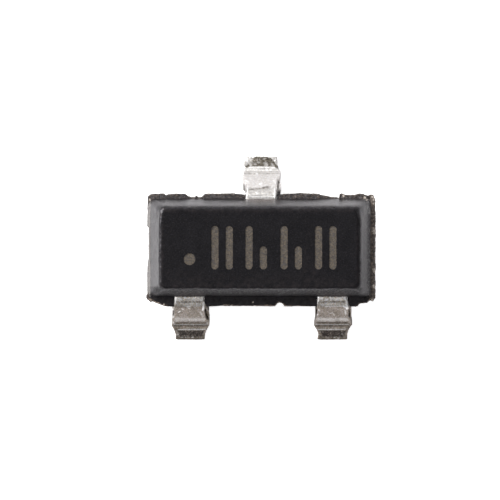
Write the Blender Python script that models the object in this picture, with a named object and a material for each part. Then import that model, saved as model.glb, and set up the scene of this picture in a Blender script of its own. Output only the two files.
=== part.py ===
"""A microprocessor supervisor chip in a three-lead moulded small-outline package.

Nine pieces: the moulded epoxy body, three stamped and formed leads (the third carries the die paddle), the
adhesive under the die, the silicon die and three gold bond wires.

Frame: origin on the seating plane at the middle of the package, +X along the body's length, +Y towards the
single lead, +Z up out of the marked face. Lengths below are in millimetres and angles in degrees; MM turns
them into Blender's metres.
"""

import math

import bmesh
import bpy

MM = 0.001

# ---------------------------------------------------------------- overall
HEIGHT = 1.010  # seating plane to the marked face
STANDOFF = 0.060  # seating plane to the underside of the body
LEAD_THICK = 0.130  # the strip that the leads are stamped from
LEAD_PLANE = 0.530  # middle of that strip where it leaves the body
LEAD_SPAN = 2.414  # toe to toe, along Y
CLEARANCE = 0.005  # left all round a piece that the epoxy closes on
SEAT = 0.002  # left between pieces that are bonded face to face

# ---------------------------------------------------------------- body
BODY_SHIFT = -0.0233  # the mould sits this far along X from the middle of the leads
BODY_HALF_X = 1.471  # at the parting plane
BODY_HALF_Y = 0.650
TOP_HALF_X = 1.338  # where the drafted sides would meet the marked face
TOP_HALF_Y = 0.533
BASE_HALF_X = 1.352
BASE_HALF_Y = 0.545
CORNER_R = 0.070  # upright corners, in plan
EDGE_R = 0.035  # round the marked face and the underside
CORNER_STEPS = 4
EDGE_STEPS = 3

# ---------------------------------------------------------------- moulding flash at the parting plane
FLASH_THICK = 0.118
FLASH_BY_LEAD = 0.005  # gap to each side of a lead
# the line along which the flash broke, measured on the object as (X, Y), one run for each stretch between leads
BROKEN_BASE_MIDDLE = (
    (-0.540, -0.771), (-0.289, -0.773), (0.040, -0.774), (0.177, -0.775), (0.193, -0.754), (0.211, -0.735),
    (0.235, -0.730), (0.262, -0.734), (0.286, -0.751), (0.300, -0.773), (0.509, -0.776),
)
BROKEN_RIGHT = (
    (1.249, -0.780), (1.279, -0.774), (1.301, -0.739), (1.351, -0.735), (1.398, -0.730), (1.416, -0.717),
    (1.435, -0.698), (1.456, -0.703), (1.472, -0.715), (1.488, -0.695), (1.512, -0.669), (1.513, 0.100),
    (1.512, 0.597), (1.497, 0.658), (1.473, 0.699), (1.449, 0.709), (1.414, 0.690), (1.374, 0.697),
    (1.327, 0.714), (1.294, 0.718), (1.233, 0.699), (1.114, 0.699), (1.061, 0.719), (1.033, 0.710),
    (1.028, 0.661), (0.935, 0.670), (0.852, 0.687), (0.735, 0.711), (0.616, 0.717), (0.487, 0.725),
)
BROKEN_LEFT = (
    (-0.355, 0.717), (-0.757, 0.713), (-0.794, 0.676), (-0.834, 0.666), (-0.874, 0.694), (-0.887, 0.670),
    (-0.932, 0.666), (-0.980, 0.684), (-1.017, 0.715), (-1.239, 0.710), (-1.273, 0.691), (-1.299, 0.718),
    (-1.432, 0.711), (-1.476, 0.706), (-1.510, 0.677), (-1.513, 0.285), (-1.497, 0.275), (-1.496, -0.134),
    (-1.508, -0.214), (-1.513, -0.320), (-1.513, -0.646), (-1.504, -0.669), (-1.468, -0.697), (-1.432, -0.719),
    (-1.398, -0.735), (-1.359, -0.747), (-1.328, -0.761), (-1.286, -0.774), (-1.241, -0.781),
)
# how far the flash reaches from the body along each lead
BESIDE_LEAD = (0.132, 0.128, 0.062)

# ---------------------------------------------------------------- leads
SHOULDER = 0.030  # straight run before the first bend
BEND_R = 0.100  # both bends, at the middle of the strip
BEND_ANGLE = 62.0
BEND_STEPS = 5
EDGE_BREAK = 0.012  # stamped edges
TOE_FROM = (0.452, 0.452, 0.436)  # where each sheared toe starts to fall away, measured from the body
TOE_FALL = 0.062  # length of its steep part
TOE_STEP = 0.056  # thickness left below the steep part
TOE_LEFT = 0.042  # and at the very tip
LEAD_X = (-0.947, 0.953, -0.003)  # leads 1, 2 and 3
# half widths outside the body: distance from the body, then the halves at lower and at higher X
OUTER_1 = (
    (0.000, 0.207, 0.176),
    (0.070, 0.215, 0.195),
    (0.150, 0.222, 0.220),
    (0.173, 0.250, 0.247),
    (0.257, 0.252, 0.245),
    (0.284, 0.243, 0.253),
    (0.372, 0.256, 0.250),
    (0.403, 0.245, 0.234),
    (0.452, 0.219, 0.211),
    (0.495, 0.203, 0.193),
    (0.557, 0.204, 0.188),
)
OUTER_2 = (
    (0.000, 0.207, 0.178),
    (0.090, 0.223, 0.206),
    (0.136, 0.228, 0.222),
    (0.163, 0.241, 0.242),
    (0.262, 0.241, 0.240),
    (0.300, 0.240, 0.243),
    (0.357, 0.255, 0.255),
    (0.395, 0.249, 0.234),
    (0.452, 0.214, 0.202),
    (0.495, 0.198, 0.189),
    (0.557, 0.214, 0.190),
)
OUTER_3 = (
    (0.000, 0.211, 0.202),
    (0.085, 0.211, 0.204),
    (0.108, 0.212, 0.250),
    (0.153, 0.222, 0.262),
    (0.176, 0.247, 0.262),
    (0.252, 0.248, 0.246),
    (0.340, 0.249, 0.258),
    (0.410, 0.246, 0.230),
    (0.452, 0.242, 0.218),
    (0.557, 0.231, 0.209),
)
# the same for the parts in the epoxy: the bond post of lead 1 (lead 2's is its mirror image), and lead 3's paddle
POST = (
    (-0.820, 0.250, 0.205),
    (-0.760, 0.292, 0.262),
    (-0.290, 0.292, 0.262),
    (-0.230, 0.205, 0.176),
    (-0.130, 0.205, 0.176),
    (-0.115, 0.160, 0.136),
    (-0.075, 0.160, 0.136),
    (-0.060, 0.205, 0.176),
)
PADDLE = (
    (-0.905, 0.480, 0.480),
    (-0.870, 0.510, 0.510),
    (-0.270, 0.510, 0.510),
    (-0.230, 0.470, 0.470),
    (-0.200, 0.211, 0.202),
    (-0.130, 0.211, 0.202),
    (-0.115, 0.165, 0.160),
    (-0.075, 0.165, 0.160),
    (-0.060, 0.211, 0.202),
)

# ---------------------------------------------------------------- die and adhesive
DIE_X, DIE_Y, DIE_THICK = 0.700, 0.520, 0.180
DIE_AT = (0.000, 0.075)
GLUE_THICK = 0.018
GLUE_FILLET = 0.030  # how far it squeezes out round the die

# ---------------------------------------------------------------- bond wires
WIRE_R = 0.0125
BALL_R = 0.030
BALL_THICK = 0.016
LOOP_RISE = 0.085  # above the die
STITCH_LONG = 0.050
WIRE_SIDES = 8
FALL_STEPS = 9
# die pad, then where the stitch lands
WIRES = (
    ((-0.270, -0.120), (-0.830, -0.290)),
    ((0.270, -0.120), (0.830, -0.290)),
    ((0.105, 0.215), (0.105, 0.525)),
)


# ================================================================ helpers
def clear_scene():
    for old in list(bpy.data.objects):
        bpy.data.objects.remove(old, do_unlink=True)


def material(name, colour, roughness, metallic):
    made = bpy.data.materials.new(name)
    made.use_nodes = True
    shader = made.node_tree.nodes["Principled BSDF"]
    shader.inputs["Base Color"].default_value = (*colour, 1.0)
    shader.inputs["Roughness"].default_value = roughness
    shader.inputs["Metallic"].default_value = metallic
    return made


def loft(name, rings, finish=None):
    """A closed solid through rings of equally many points, with flat ends."""
    shape = bmesh.new()
    rows = [[shape.verts.new([c * MM for c in p]) for p in ring] for ring in rings]
    count = len(rows[0])
    for one, two in zip(rows, rows[1:]):
        for i in range(count):
            j = (i + 1) % count
            shape.faces.new((one[i], one[j], two[j], two[i]))
    shape.faces.new(list(reversed(rows[0])))
    shape.faces.new(rows[-1])
    bmesh.ops.recalc_face_normals(shape, faces=shape.faces)
    data = bpy.data.meshes.new(name)
    shape.to_mesh(data)
    shape.free()
    made = bpy.data.objects.new(name, data)
    bpy.context.scene.collection.objects.link(made)
    if finish:
        data.materials.append(finish)
    return made


def as_cutter(tool):
    tool.hide_render = True
    tool.display_type = "WIRE"
    return tool


def combine(target, tool, operation):
    step = target.modifiers.new(tool.name, "BOOLEAN")
    step.operation = operation
    step.solver = "EXACT"
    step.object = tool


def soften(target, angle=32.0):
    """Shades a rounded piece smooth, with its real edges kept."""
    target.data.shade_smooth()
    target.data.set_sharp_from_angle(angle=math.radians(angle))


# ================================================================ body
def rounded_outline(half_x, half_y, radius, steps=CORNER_STEPS):
    """Corner arcs of a rectangle, anticlockwise from the +X side."""
    points = []
    for quarter, (sx, sy) in enumerate(((1, 1), (-1, 1), (-1, -1), (1, -1))):
        for i in range(steps + 1):
            a = math.radians(90.0 * quarter + 90.0 * i / steps)
            points.append((sx * (half_x - radius) + radius * math.cos(a), sy * (half_y - radius) + radius * math.sin(a)))
    return points


def edge_round(draft):
    """(inset, depth) pairs from the sharp edge where a side with this draft meets a flat face, flat face first."""
    turn = math.radians(90.0) - draft
    back = EDGE_R * math.tan(turn / 2)
    return [
        (back - EDGE_R * math.sin(turn * i / EDGE_STEPS), EDGE_R * (1 - math.cos(turn * i / EDGE_STEPS)))
        for i in range(EDGE_STEPS + 1)
    ]


def body_rings():
    """Rings from the underside up to the marked face: a rounded edge, a drafted side, the parting plane, and back."""
    rings = []

    def add(half_x, half_y, radius, z):
        rings.append([(x + BODY_SHIFT, y, z) for x, y in rounded_outline(half_x, half_y, radius)])

    for half_x, half_y, face, way in ((BASE_HALF_X, BASE_HALF_Y, STANDOFF, 1.0), (TOP_HALF_X, TOP_HALF_Y, HEIGHT, -1.0)):
        high = abs(LEAD_PLANE - face)
        insets_x = edge_round(math.atan((BODY_HALF_X - half_x) / high))
        insets_y = edge_round(math.atan((BODY_HALF_Y - half_y) / high))
        made = [
            (half_x - ix, half_y - iy, max(0.8 * CORNER_R - ix, 0.02), face + way * (rx + ry) / 2)
            for (ix, rx), (iy, ry) in zip(insets_x, insets_y)
        ]
        if way < 0:
            add(BODY_HALF_X, BODY_HALF_Y, CORNER_R, LEAD_PLANE)
            made.reverse()
        for ring in made:
            add(*ring)
    return rings


def lead_side(number, side, distance):
    """X of a lead's edge at this distance from the body, with the gap that the flash leaves beside it."""
    low, high = between((OUTER_1, OUTER_2, OUTER_3)[number - 1], distance)
    return LEAD_X[number - 1] + (high + FLASH_BY_LEAD if side > 0 else -low - FLASH_BY_LEAD)


def beside_lead(number, side, outwards):
    """The flash's edge along one side of a lead, from inside the body out to its broken end, or back in."""
    reach = BESIDE_LEAD[number - 1]
    facing = 1.0 if number == 3 else -1.0
    points = [
        (lead_side(number, side, max(d, 0.0)), facing * (BODY_HALF_Y + d))
        for d in (-0.030, 0.0, reach / 2, reach)
    ]
    return points if outwards else points[::-1]


def flash_outline():
    """Anticlockwise seen from above, from lead 1 along the base."""
    return [
        *beside_lead(1, 1, True),
        *BROKEN_BASE_MIDDLE,
        *beside_lead(2, -1, False),
        *beside_lead(2, 1, True),
        *BROKEN_RIGHT,
        *beside_lead(3, 1, False),
        *beside_lead(3, -1, True),
        *BROKEN_LEFT,
        *beside_lead(1, -1, False),
    ]


# ================================================================ leads
class Fold:
    """The line that the middle of a lead's strip follows, by its length s from where it leaves the body."""

    def __init__(self):
        a = math.radians(BEND_ANGLE)
        self.angle = a
        self.arc = BEND_R * a
        drop = LEAD_PLANE - LEAD_THICK / 2
        leg = (drop - 2 * BEND_R * (1 - math.cos(a))) / math.sin(a)
        self.knees = (SHOULDER, SHOULDER + self.arc, SHOULDER + self.arc + leg, SHOULDER + 2 * self.arc + leg)
        self.foot_from = SHOULDER + 2 * BEND_R * math.sin(a) + leg * math.cos(a)
        self.length = self.knees[3] + (LEAD_SPAN / 2 - BODY_HALF_Y - self.foot_from)

    def at(self, s):
        """(distance from the body, height, slope) of the strip's middle."""
        k, a, r = self.knees, self.angle, BEND_R
        if s <= k[0]:
            return s, LEAD_PLANE, 0.0
        if s <= k[1]:
            f = (s - k[0]) / r
            return k[0] + r * math.sin(f), LEAD_PLANE - r * (1 - math.cos(f)), f
        u, z = k[0] + r * math.sin(a), LEAD_PLANE - r * (1 - math.cos(a))
        run = min(s, k[2]) - k[1]
        u, z = u + run * math.cos(a), z - run * math.sin(a)
        if s <= k[2]:
            return u, z, a
        f = max(a - (s - k[2]) / r, 0.0)
        u, z = u + r * (math.sin(a) - math.sin(f)), z - r * (math.cos(f) - math.cos(a))
        return (u, z, f) if s <= k[3] else (u + s - k[3], z, 0.0)

    def length_at(self, distance):
        """s where the strip's middle is this far from the body."""
        low, high = -2.0, self.length + 0.5
        for _ in range(60):
            middle = (low + high) / 2
            if self.at(middle)[0] < distance:
                low = middle
            else:
                high = middle
        return (low + high) / 2


def between(table, distance):
    """Left and right half widths at this distance, from the table's straight runs."""
    if distance <= table[0][0]:
        return table[0][1:]
    for (d0, l0, r0), (d1, l1, r1) in zip(table, table[1:]):
        if distance <= d1:
            t = (distance - d0) / (d1 - d0)
            return l0 + t * (l1 - l0), r0 + t * (r1 - r0)
    return table[-1][1:]


def lead_rings(number, grow=0.0):
    """Rings of the strip from its inner end to its toe. grow makes the pocket that the epoxy leaves round it."""
    fold = Fold()
    inner = PADDLE if number == 3 else POST
    if number == 2:
        inner = tuple((d, r, l) for d, l, r in inner[:3]) + tuple((d, l, r) for d, l, r in inner[3:])
    table = inner + (OUTER_1, OUTER_2, OUTER_3)[number - 1]
    toe = LEAD_SPAN / 2 - BODY_HALF_Y
    toe_from = TOE_FROM[number - 1]
    stops = {fold.length_at(d) for d, _, _ in table[:-1]}
    for start in (fold.knees[0], fold.knees[2]):
        stops |= {start + fold.arc * i / BEND_STEPS for i in range(BEND_STEPS + 1)}
    stops |= {fold.length_at(toe_from), fold.length_at(toe_from + TOE_FALL), fold.length}
    # stops that nearly coincide would leave slivers
    kept = []
    for s in sorted(stops):
        if not kept or s - kept[-1] > 0.004:
            kept.append(s)
    kept[-1] = fold.length
    side = 1.0 if number == 3 else -1.0
    rings = []
    for i, s in enumerate(kept):
        u, z, slope = fold.at(s)
        # a pocket has the widest of the widths just before and after, so that it also clears the steps
        left, right = (max(pair) for pair in zip(*(between(table, u + way * grow) for way in (-1.0, 0.0, 1.0))))
        end = (i == len(kept) - 1) - (i == 0)
        u_end = u + end * grow
        fall = min(max(0.0, (u - toe_from) / TOE_FALL), 1.0)
        tail = max(0.0, (u - toe_from - TOE_FALL) / (toe - toe_from - TOE_FALL))
        cut = fall * (LEAD_THICK - TOE_STEP) + tail * (TOE_STEP - TOE_LEFT)
        top, base = LEAD_THICK / 2 - cut + grow, -LEAD_THICK / 2 - grow
        low_x, high_x = LEAD_X[number - 1] - left - grow, LEAD_X[number - 1] + right + grow
        c = EDGE_BREAK
        ring = []
        for x, h in (
            (low_x + c, base),
            (high_x - c, base),
            (high_x, base + c),
            (high_x, top - c),
            (high_x - c, top),
            (low_x + c, top),
            (low_x, top - c),
            (low_x, base + c),
        ):
            ring.append((x, side * (BODY_HALF_Y + u_end + h * math.sin(slope)), z + h * math.cos(slope)))
        rings.append(ring)
    return rings


# ================================================================ die, adhesive and wires
def box_rings(half_x, half_y, low, high, spread=0.0):
    """A flat box on the paddle, wider by spread at its base."""
    x0, y0 = DIE_AT
    rings = []
    for z, more in ((low, spread), (high, 0.0)):
        hx, hy = half_x + more, half_y + more
        rings.append([(x0 + sx * hx, y0 + sy * hy, z) for sx, sy in ((1, 1), (-1, 1), (-1, -1), (1, -1))])
    return rings


PADDLE_TOP = LEAD_PLANE + LEAD_THICK / 2
GLUE_LOW = PADDLE_TOP + SEAT
GLUE_HIGH = GLUE_LOW + GLUE_THICK
DIE_LOW = GLUE_HIGH + SEAT
DIE_HIGH = DIE_LOW + DIE_THICK


def glue_rings(grow=0.0):
    # the fillet's slope is kept, and the pocket is moved out along it
    spread = GLUE_FILLET * (GLUE_THICK + 2 * grow) / GLUE_THICK
    return box_rings(DIE_X / 2 + grow, DIE_Y / 2 + grow, GLUE_LOW - grow, GLUE_HIGH + grow, spread)


def die_rings(grow=0.0):
    return box_rings(DIE_X / 2 + grow, DIE_Y / 2 + grow, DIE_LOW - grow, DIE_HIGH + grow)


def wire_rings(number, grow=0.0):
    """Rings of one bond wire: the ball on the die, the loop, and the flattened stitch on the post."""
    (x0, y0), (x1, y1) = WIRES[number - 1]
    run = math.hypot(x1 - x0, y1 - y0)
    ux, uy = (x1 - x0) / run, (y1 - y0) / run
    ball_low = DIE_HIGH + SEAT
    stitch_low = PADDLE_TOP + SEAT
    ball_high = ball_low + BALL_THICK
    crest = DIE_HIGH + LOOP_RISE
    rings = []

    def ring(d, z, slope, half_wide, half_high):
        """slope 90 is a wire that points straight up, and 0 one that runs level towards the post."""
        a = math.radians(slope)
        points = []
        for i in range(WIRE_SIDES):
            t = 2 * math.pi * (i + 0.5) / WIRE_SIDES
            across, up = half_wide * math.cos(t), half_high * math.sin(t)
            e = d - up * math.sin(a)
            points.append((x0 + ux * e - uy * across, y0 + uy * e + ux * across, z + up * math.cos(a)))
        rings.append(points)

    # ball, then up its neck
    ring(0.0, ball_low - grow, 90, 0.8 * BALL_R + grow, 0.8 * BALL_R + grow)
    ring(0.0, ball_low + 0.3 * BALL_THICK, 90, BALL_R + grow, BALL_R + grow)
    ring(0.0, ball_low + 0.8 * BALL_THICK, 90, 0.9 * BALL_R + grow, 0.9 * BALL_R + grow)
    ring(0.0, ball_high + 0.006, 90, WIRE_R + 0.002 + grow, WIRE_R + 0.002 + grow)
    # the loop: a quarter turn over the crest, then a long fall that flattens out
    turn = min(0.045, 0.3 * run)
    for i in range(5):
        a = 90.0 * (1 - i / 4)
        ring(turn * (1 - math.sin(math.radians(a))), crest - turn * (1 - math.cos(math.radians(a))), a, WIRE_R + grow, WIRE_R + grow)
    end = (run - STITCH_LONG / 2, stitch_low + WIRE_R)

    def height(t):
        """Level over the die's edge, then down to the post."""
        t = min(max(t, 0.0), 1.0)
        return crest + (0.5 * t * t * (3 - 2 * t) + 0.5 * t**2.2) * (end[1] - crest)

    for i in range(1, FALL_STEPS):
        t = i / FALL_STEPS
        slope = math.atan2(height(t + 0.02) - height(t - 0.02), 0.04 * (end[0] - turn))
        ring(turn + t * (end[0] - turn), height(t), math.degrees(slope), WIRE_R + grow, WIRE_R + grow)
    ring(run - STITCH_LONG / 2, stitch_low + 0.0095, 0, WIRE_R + 0.002 + grow, 0.0095 + grow)
    ring(run, stitch_low + 0.006, 0, WIRE_R + 0.010 + grow, 0.006 + grow)
    ring(run + STITCH_LONG / 2 + grow, stitch_low + 0.003, 0, WIRE_R + grow, 0.003 + grow)
    return rings


# ================================================================ assembly
clear_scene()

epoxy = material("moulding compound", (0.018, 0.018, 0.020), 0.55, 0.0)
tinned = material("tin plated copper alloy", (0.62, 0.60, 0.57), 0.32, 1.0)
silver_glue = material("silver filled adhesive", (0.42, 0.42, 0.41), 0.45, 0.6)
silicon = material("silicon", (0.16, 0.17, 0.20), 0.15, 0.3)
gold = material("gold wire", (0.90, 0.68, 0.28), 0.20, 1.0)

package = bpy.data.objects.new("package", None)
bpy.context.scene.collection.objects.link(package)

body = loft("epoxy_body", body_rings(), epoxy)
pieces = [body]

half = FLASH_THICK / 2
outline = flash_outline()
flash = as_cutter(loft("flash_web", [[(x, y, z) for x, y in outline] for z in (LEAD_PLANE - half, LEAD_PLANE + half)]))
combine(body, flash, "UNION")

for number in (1, 2, 3):
    lead = loft(f"lead_{number}", lead_rings(number), tinned)
    soften(lead, 40.0)
    pieces.append(lead)
    combine(body, as_cutter(loft(f"pocket_lead_{number}", lead_rings(number, CLEARANCE))), "DIFFERENCE")

pieces.append(loft("die_attach", glue_rings(), silver_glue))
combine(body, as_cutter(loft("pocket_die_attach", glue_rings(CLEARANCE))), "DIFFERENCE")
pieces.append(loft("silicon_die", die_rings(), silicon))
combine(body, as_cutter(loft("pocket_silicon_die", die_rings(CLEARANCE))), "DIFFERENCE")

for number in (1, 2, 3):
    wire = loft(f"bond_wire_{number}", wire_rings(number), gold)
    soften(wire, 60.0)
    pieces.append(wire)
    combine(body, as_cutter(loft(f"pocket_bond_wire_{number}", wire_rings(number, CLEARANCE))), "DIFFERENCE")

for piece in pieces:
    piece.parent = package
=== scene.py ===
"""Looks of the microprocessor supervisor chip: a black moulded block with three formed, tin plated leads.

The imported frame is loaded, and each CAD piece gets its finely modelled visible piece in the same place. Lengths in
the tables are in millimetres, in the frame of the CAD: origin on the seating plane, +Y towards the single lead.
"""

import math

import bmesh
import bpy
import numpy as np
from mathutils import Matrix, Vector, kdtree, noise


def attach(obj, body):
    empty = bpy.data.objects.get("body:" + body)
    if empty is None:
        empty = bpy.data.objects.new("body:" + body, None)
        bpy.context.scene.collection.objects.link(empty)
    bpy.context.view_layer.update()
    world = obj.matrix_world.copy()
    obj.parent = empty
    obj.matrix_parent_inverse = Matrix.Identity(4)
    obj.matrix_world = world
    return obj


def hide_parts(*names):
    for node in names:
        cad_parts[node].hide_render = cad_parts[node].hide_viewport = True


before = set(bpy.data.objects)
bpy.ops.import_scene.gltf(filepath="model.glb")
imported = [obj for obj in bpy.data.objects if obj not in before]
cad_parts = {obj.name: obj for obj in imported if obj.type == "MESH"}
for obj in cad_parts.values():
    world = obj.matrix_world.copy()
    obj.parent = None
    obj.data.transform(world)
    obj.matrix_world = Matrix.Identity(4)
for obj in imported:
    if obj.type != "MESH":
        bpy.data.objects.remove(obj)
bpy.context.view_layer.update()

MM = 0.001

# ================================================================ sizes, as in the CAD
HEIGHT = 1.010
STANDOFF = 0.060
LEAD_THICK = 0.130
LEAD_PLANE = 0.530
LEAD_SPAN = 2.414
CLEARANCE = 0.005
SEAT = 0.002

BODY_SHIFT = -0.0233
BODY_HALF_X = 1.471
BODY_HALF_Y = 0.650
TOP_HALF_X = 1.338
TOP_HALF_Y = 0.533
BASE_HALF_X = 1.352
BASE_HALF_Y = 0.545
CORNER_R = 0.070
EDGE_R = 0.035

FLASH_THICK = 0.118
FLASH_BY_LEAD = -0.0015  # the flash is drawn up to the leads and cut back to LEAD_PLAY
LEAD_PLAY = 0.0025  # the resin hugs the leads closer here than in the CAD
BROKEN_BASE_MIDDLE = (
    (-0.540, -0.771), (-0.289, -0.773), (0.040, -0.774), (0.177, -0.775), (0.193, -0.754), (0.211, -0.735),
    (0.235, -0.730), (0.262, -0.734), (0.286, -0.751), (0.300, -0.773), (0.509, -0.776),
)
BROKEN_RIGHT = (
    (1.249, -0.780), (1.279, -0.774), (1.301, -0.739), (1.351, -0.735), (1.398, -0.730), (1.416, -0.717),
    (1.435, -0.698), (1.456, -0.703), (1.472, -0.715), (1.488, -0.695), (1.512, -0.669), (1.513, 0.100),
    (1.512, 0.597), (1.497, 0.658), (1.473, 0.699), (1.449, 0.709), (1.414, 0.690), (1.374, 0.697),
    (1.327, 0.714), (1.294, 0.718), (1.233, 0.699), (1.114, 0.699), (1.061, 0.719), (1.033, 0.710),
    (1.028, 0.661), (0.935, 0.670), (0.852, 0.687), (0.735, 0.711), (0.616, 0.717), (0.487, 0.725),
)
BROKEN_LEFT = (
    (-0.355, 0.717), (-0.757, 0.713), (-0.794, 0.676), (-0.834, 0.666), (-0.874, 0.694), (-0.887, 0.670),
    (-0.932, 0.666), (-0.980, 0.684), (-1.017, 0.715), (-1.239, 0.710), (-1.273, 0.691), (-1.299, 0.718),
    (-1.432, 0.711), (-1.476, 0.706), (-1.510, 0.677), (-1.513, 0.285), (-1.497, 0.275), (-1.496, -0.134),
    (-1.508, -0.214), (-1.513, -0.320), (-1.513, -0.646), (-1.504, -0.669), (-1.468, -0.697), (-1.432, -0.719),
    (-1.398, -0.735), (-1.359, -0.747), (-1.328, -0.761), (-1.286, -0.774), (-1.241, -0.781),
)
BESIDE_LEAD = (0.132, 0.128, 0.062)

SHOULDER = 0.030
BEND_R = 0.100
BEND_ANGLE = 62.0
TOE_FROM = (0.452, 0.452, 0.436)
TOE_FALL = 0.062
TOE_STEP = 0.056
TOE_LEFT = 0.042
LEAD_X = (-0.947, 0.953, -0.003)
OUTER_1 = (
    (0.000, 0.207, 0.176), (0.070, 0.215, 0.195), (0.150, 0.222, 0.220), (0.173, 0.250, 0.247), (0.257, 0.252, 0.245),
    (0.284, 0.243, 0.253), (0.372, 0.256, 0.250), (0.403, 0.245, 0.234), (0.452, 0.219, 0.211), (0.495, 0.203, 0.193),
    (0.557, 0.204, 0.188),
)
OUTER_2 = (
    (0.000, 0.207, 0.178), (0.090, 0.223, 0.206), (0.136, 0.228, 0.222), (0.163, 0.241, 0.242), (0.262, 0.241, 0.240),
    (0.300, 0.240, 0.243), (0.357, 0.255, 0.255), (0.395, 0.249, 0.234), (0.452, 0.214, 0.202), (0.495, 0.198, 0.189),
    (0.557, 0.214, 0.190),
)
OUTER_3 = (
    (0.000, 0.211, 0.202), (0.085, 0.211, 0.204), (0.108, 0.212, 0.250), (0.153, 0.222, 0.262), (0.176, 0.247, 0.262),
    (0.252, 0.248, 0.246), (0.340, 0.249, 0.258), (0.410, 0.246, 0.230), (0.452, 0.242, 0.218), (0.557, 0.231, 0.209),
)
POST = (
    (-0.820, 0.250, 0.205), (-0.760, 0.292, 0.262), (-0.290, 0.292, 0.262), (-0.230, 0.205, 0.176),
    (-0.130, 0.205, 0.176), (-0.115, 0.160, 0.136), (-0.075, 0.160, 0.136), (-0.060, 0.205, 0.176),
)
PADDLE = (
    (-0.905, 0.480, 0.480), (-0.870, 0.510, 0.510), (-0.270, 0.510, 0.510), (-0.230, 0.470, 0.470),
    (-0.200, 0.211, 0.202), (-0.130, 0.211, 0.202), (-0.115, 0.165, 0.160), (-0.075, 0.165, 0.160),
    (-0.060, 0.211, 0.202),
)

DIE_X, DIE_Y, DIE_THICK = 0.700, 0.520, 0.180
DIE_AT = (0.000, 0.075)
GLUE_THICK = 0.018
GLUE_FILLET = 0.030

WIRE_R = 0.0125
BALL_R = 0.030
BALL_THICK = 0.016
LOOP_RISE = 0.085
STITCH_LONG = 0.050
WIRES = (
    ((-0.270, -0.120), (-0.830, -0.290)),
    ((0.270, -0.120), (0.830, -0.290)),
    ((0.105, 0.215), (0.105, 0.525)),
)

PADDLE_TOP = LEAD_PLANE + LEAD_THICK / 2
GLUE_LOW = PADDLE_TOP + SEAT
GLUE_HIGH = GLUE_LOW + GLUE_THICK
DIE_LOW = GLUE_HIGH + SEAT
DIE_HIGH = DIE_LOW + DIE_THICK


# ================================================================ helpers
def grain(x, y, z, size, octaves=3, seed=0.0):
    """Smooth noise between about -1 and 1 whose largest lumps are about this many millimetres across."""
    k = 1.0 / size
    return noise.fractal(Vector((x * k + seed, y * k - seed * 1.7, z * k + 3.1)), 0.9, 2.1, octaves)


def ramp(value, low, high):
    """0 below low, 1 above high, and smooth between."""
    t = min(max((value - low) / (high - low), 0.0), 1.0)
    return t * t * (3 - 2 * t)


def bump_at(value, centre, half_width):
    """A smooth hill, 1 at its centre and 0 from half_width away."""
    t = abs(value - centre) / half_width
    return 0.0 if t >= 1 else (1 - t * t) ** 2


def along(table, distance):
    """The table's columns at this distance, from its straight runs."""
    if distance <= table[0][0]:
        return table[0][1:]
    for one, two in zip(table, table[1:]):
        if distance <= two[0]:
            t = (distance - one[0]) / (two[0] - one[0])
            return tuple(a + t * (b - a) for a, b in zip(one[1:], two[1:]))
    return table[-1][1:]


def mesh_from(name, points, faces):
    data = bpy.data.meshes.new(name)
    data.from_pydata([tuple(c * MM for c in p) for p in points], [], faces)
    data.validate()
    made = bpy.data.objects.new(name, data)
    bpy.context.scene.collection.objects.link(made)
    return made


def outward(made):
    """Turns the faces of a closed mesh outwards."""
    shape = bmesh.new()
    shape.from_mesh(made.data)
    bmesh.ops.recalc_face_normals(shape, faces=shape.faces)
    shape.to_mesh(made.data)
    shape.free()
    return made


def loft(name, rings):
    """A closed solid through rings of equally many points, with flat ends."""
    count = len(rings[0])
    points = [p for ring in rings for p in ring]
    faces = []
    for r in range(len(rings) - 1):
        a, b = r * count, (r + 1) * count
        for i in range(count):
            j = (i + 1) % count
            faces.append((a + i, a + j, b + j, b + i))
    faces.append(tuple(range(count - 1, -1, -1)))
    last = (len(rings) - 1) * count
    faces.append(tuple(range(last, last + count)))
    return outward(mesh_from(name, points, faces))


def applied(made):
    """The object with its modifiers turned into mesh."""
    bpy.context.view_layer.update()
    graph = bpy.context.evaluated_depsgraph_get()
    data = bpy.data.meshes.new_from_object(made.evaluated_get(graph))
    made.modifiers.clear()
    old = made.data
    made.data = data
    bpy.data.meshes.remove(old)
    return made


def discard(*objects):
    for o in objects:
        data = o.data
        bpy.data.objects.remove(o, do_unlink=True)
        if data.users == 0:
            bpy.data.meshes.remove(data)


def smooth(made, angle=32.0):
    made.data.shade_smooth()
    made.data.set_sharp_from_angle(angle=math.radians(angle))


def point_values(made, name, values):
    """A number at each vertex, which a material can read."""
    layer = made.data.attributes.new(name, "FLOAT", "POINT")
    layer.data.foreach_set("value", np.asarray(values, np.float32))


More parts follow.
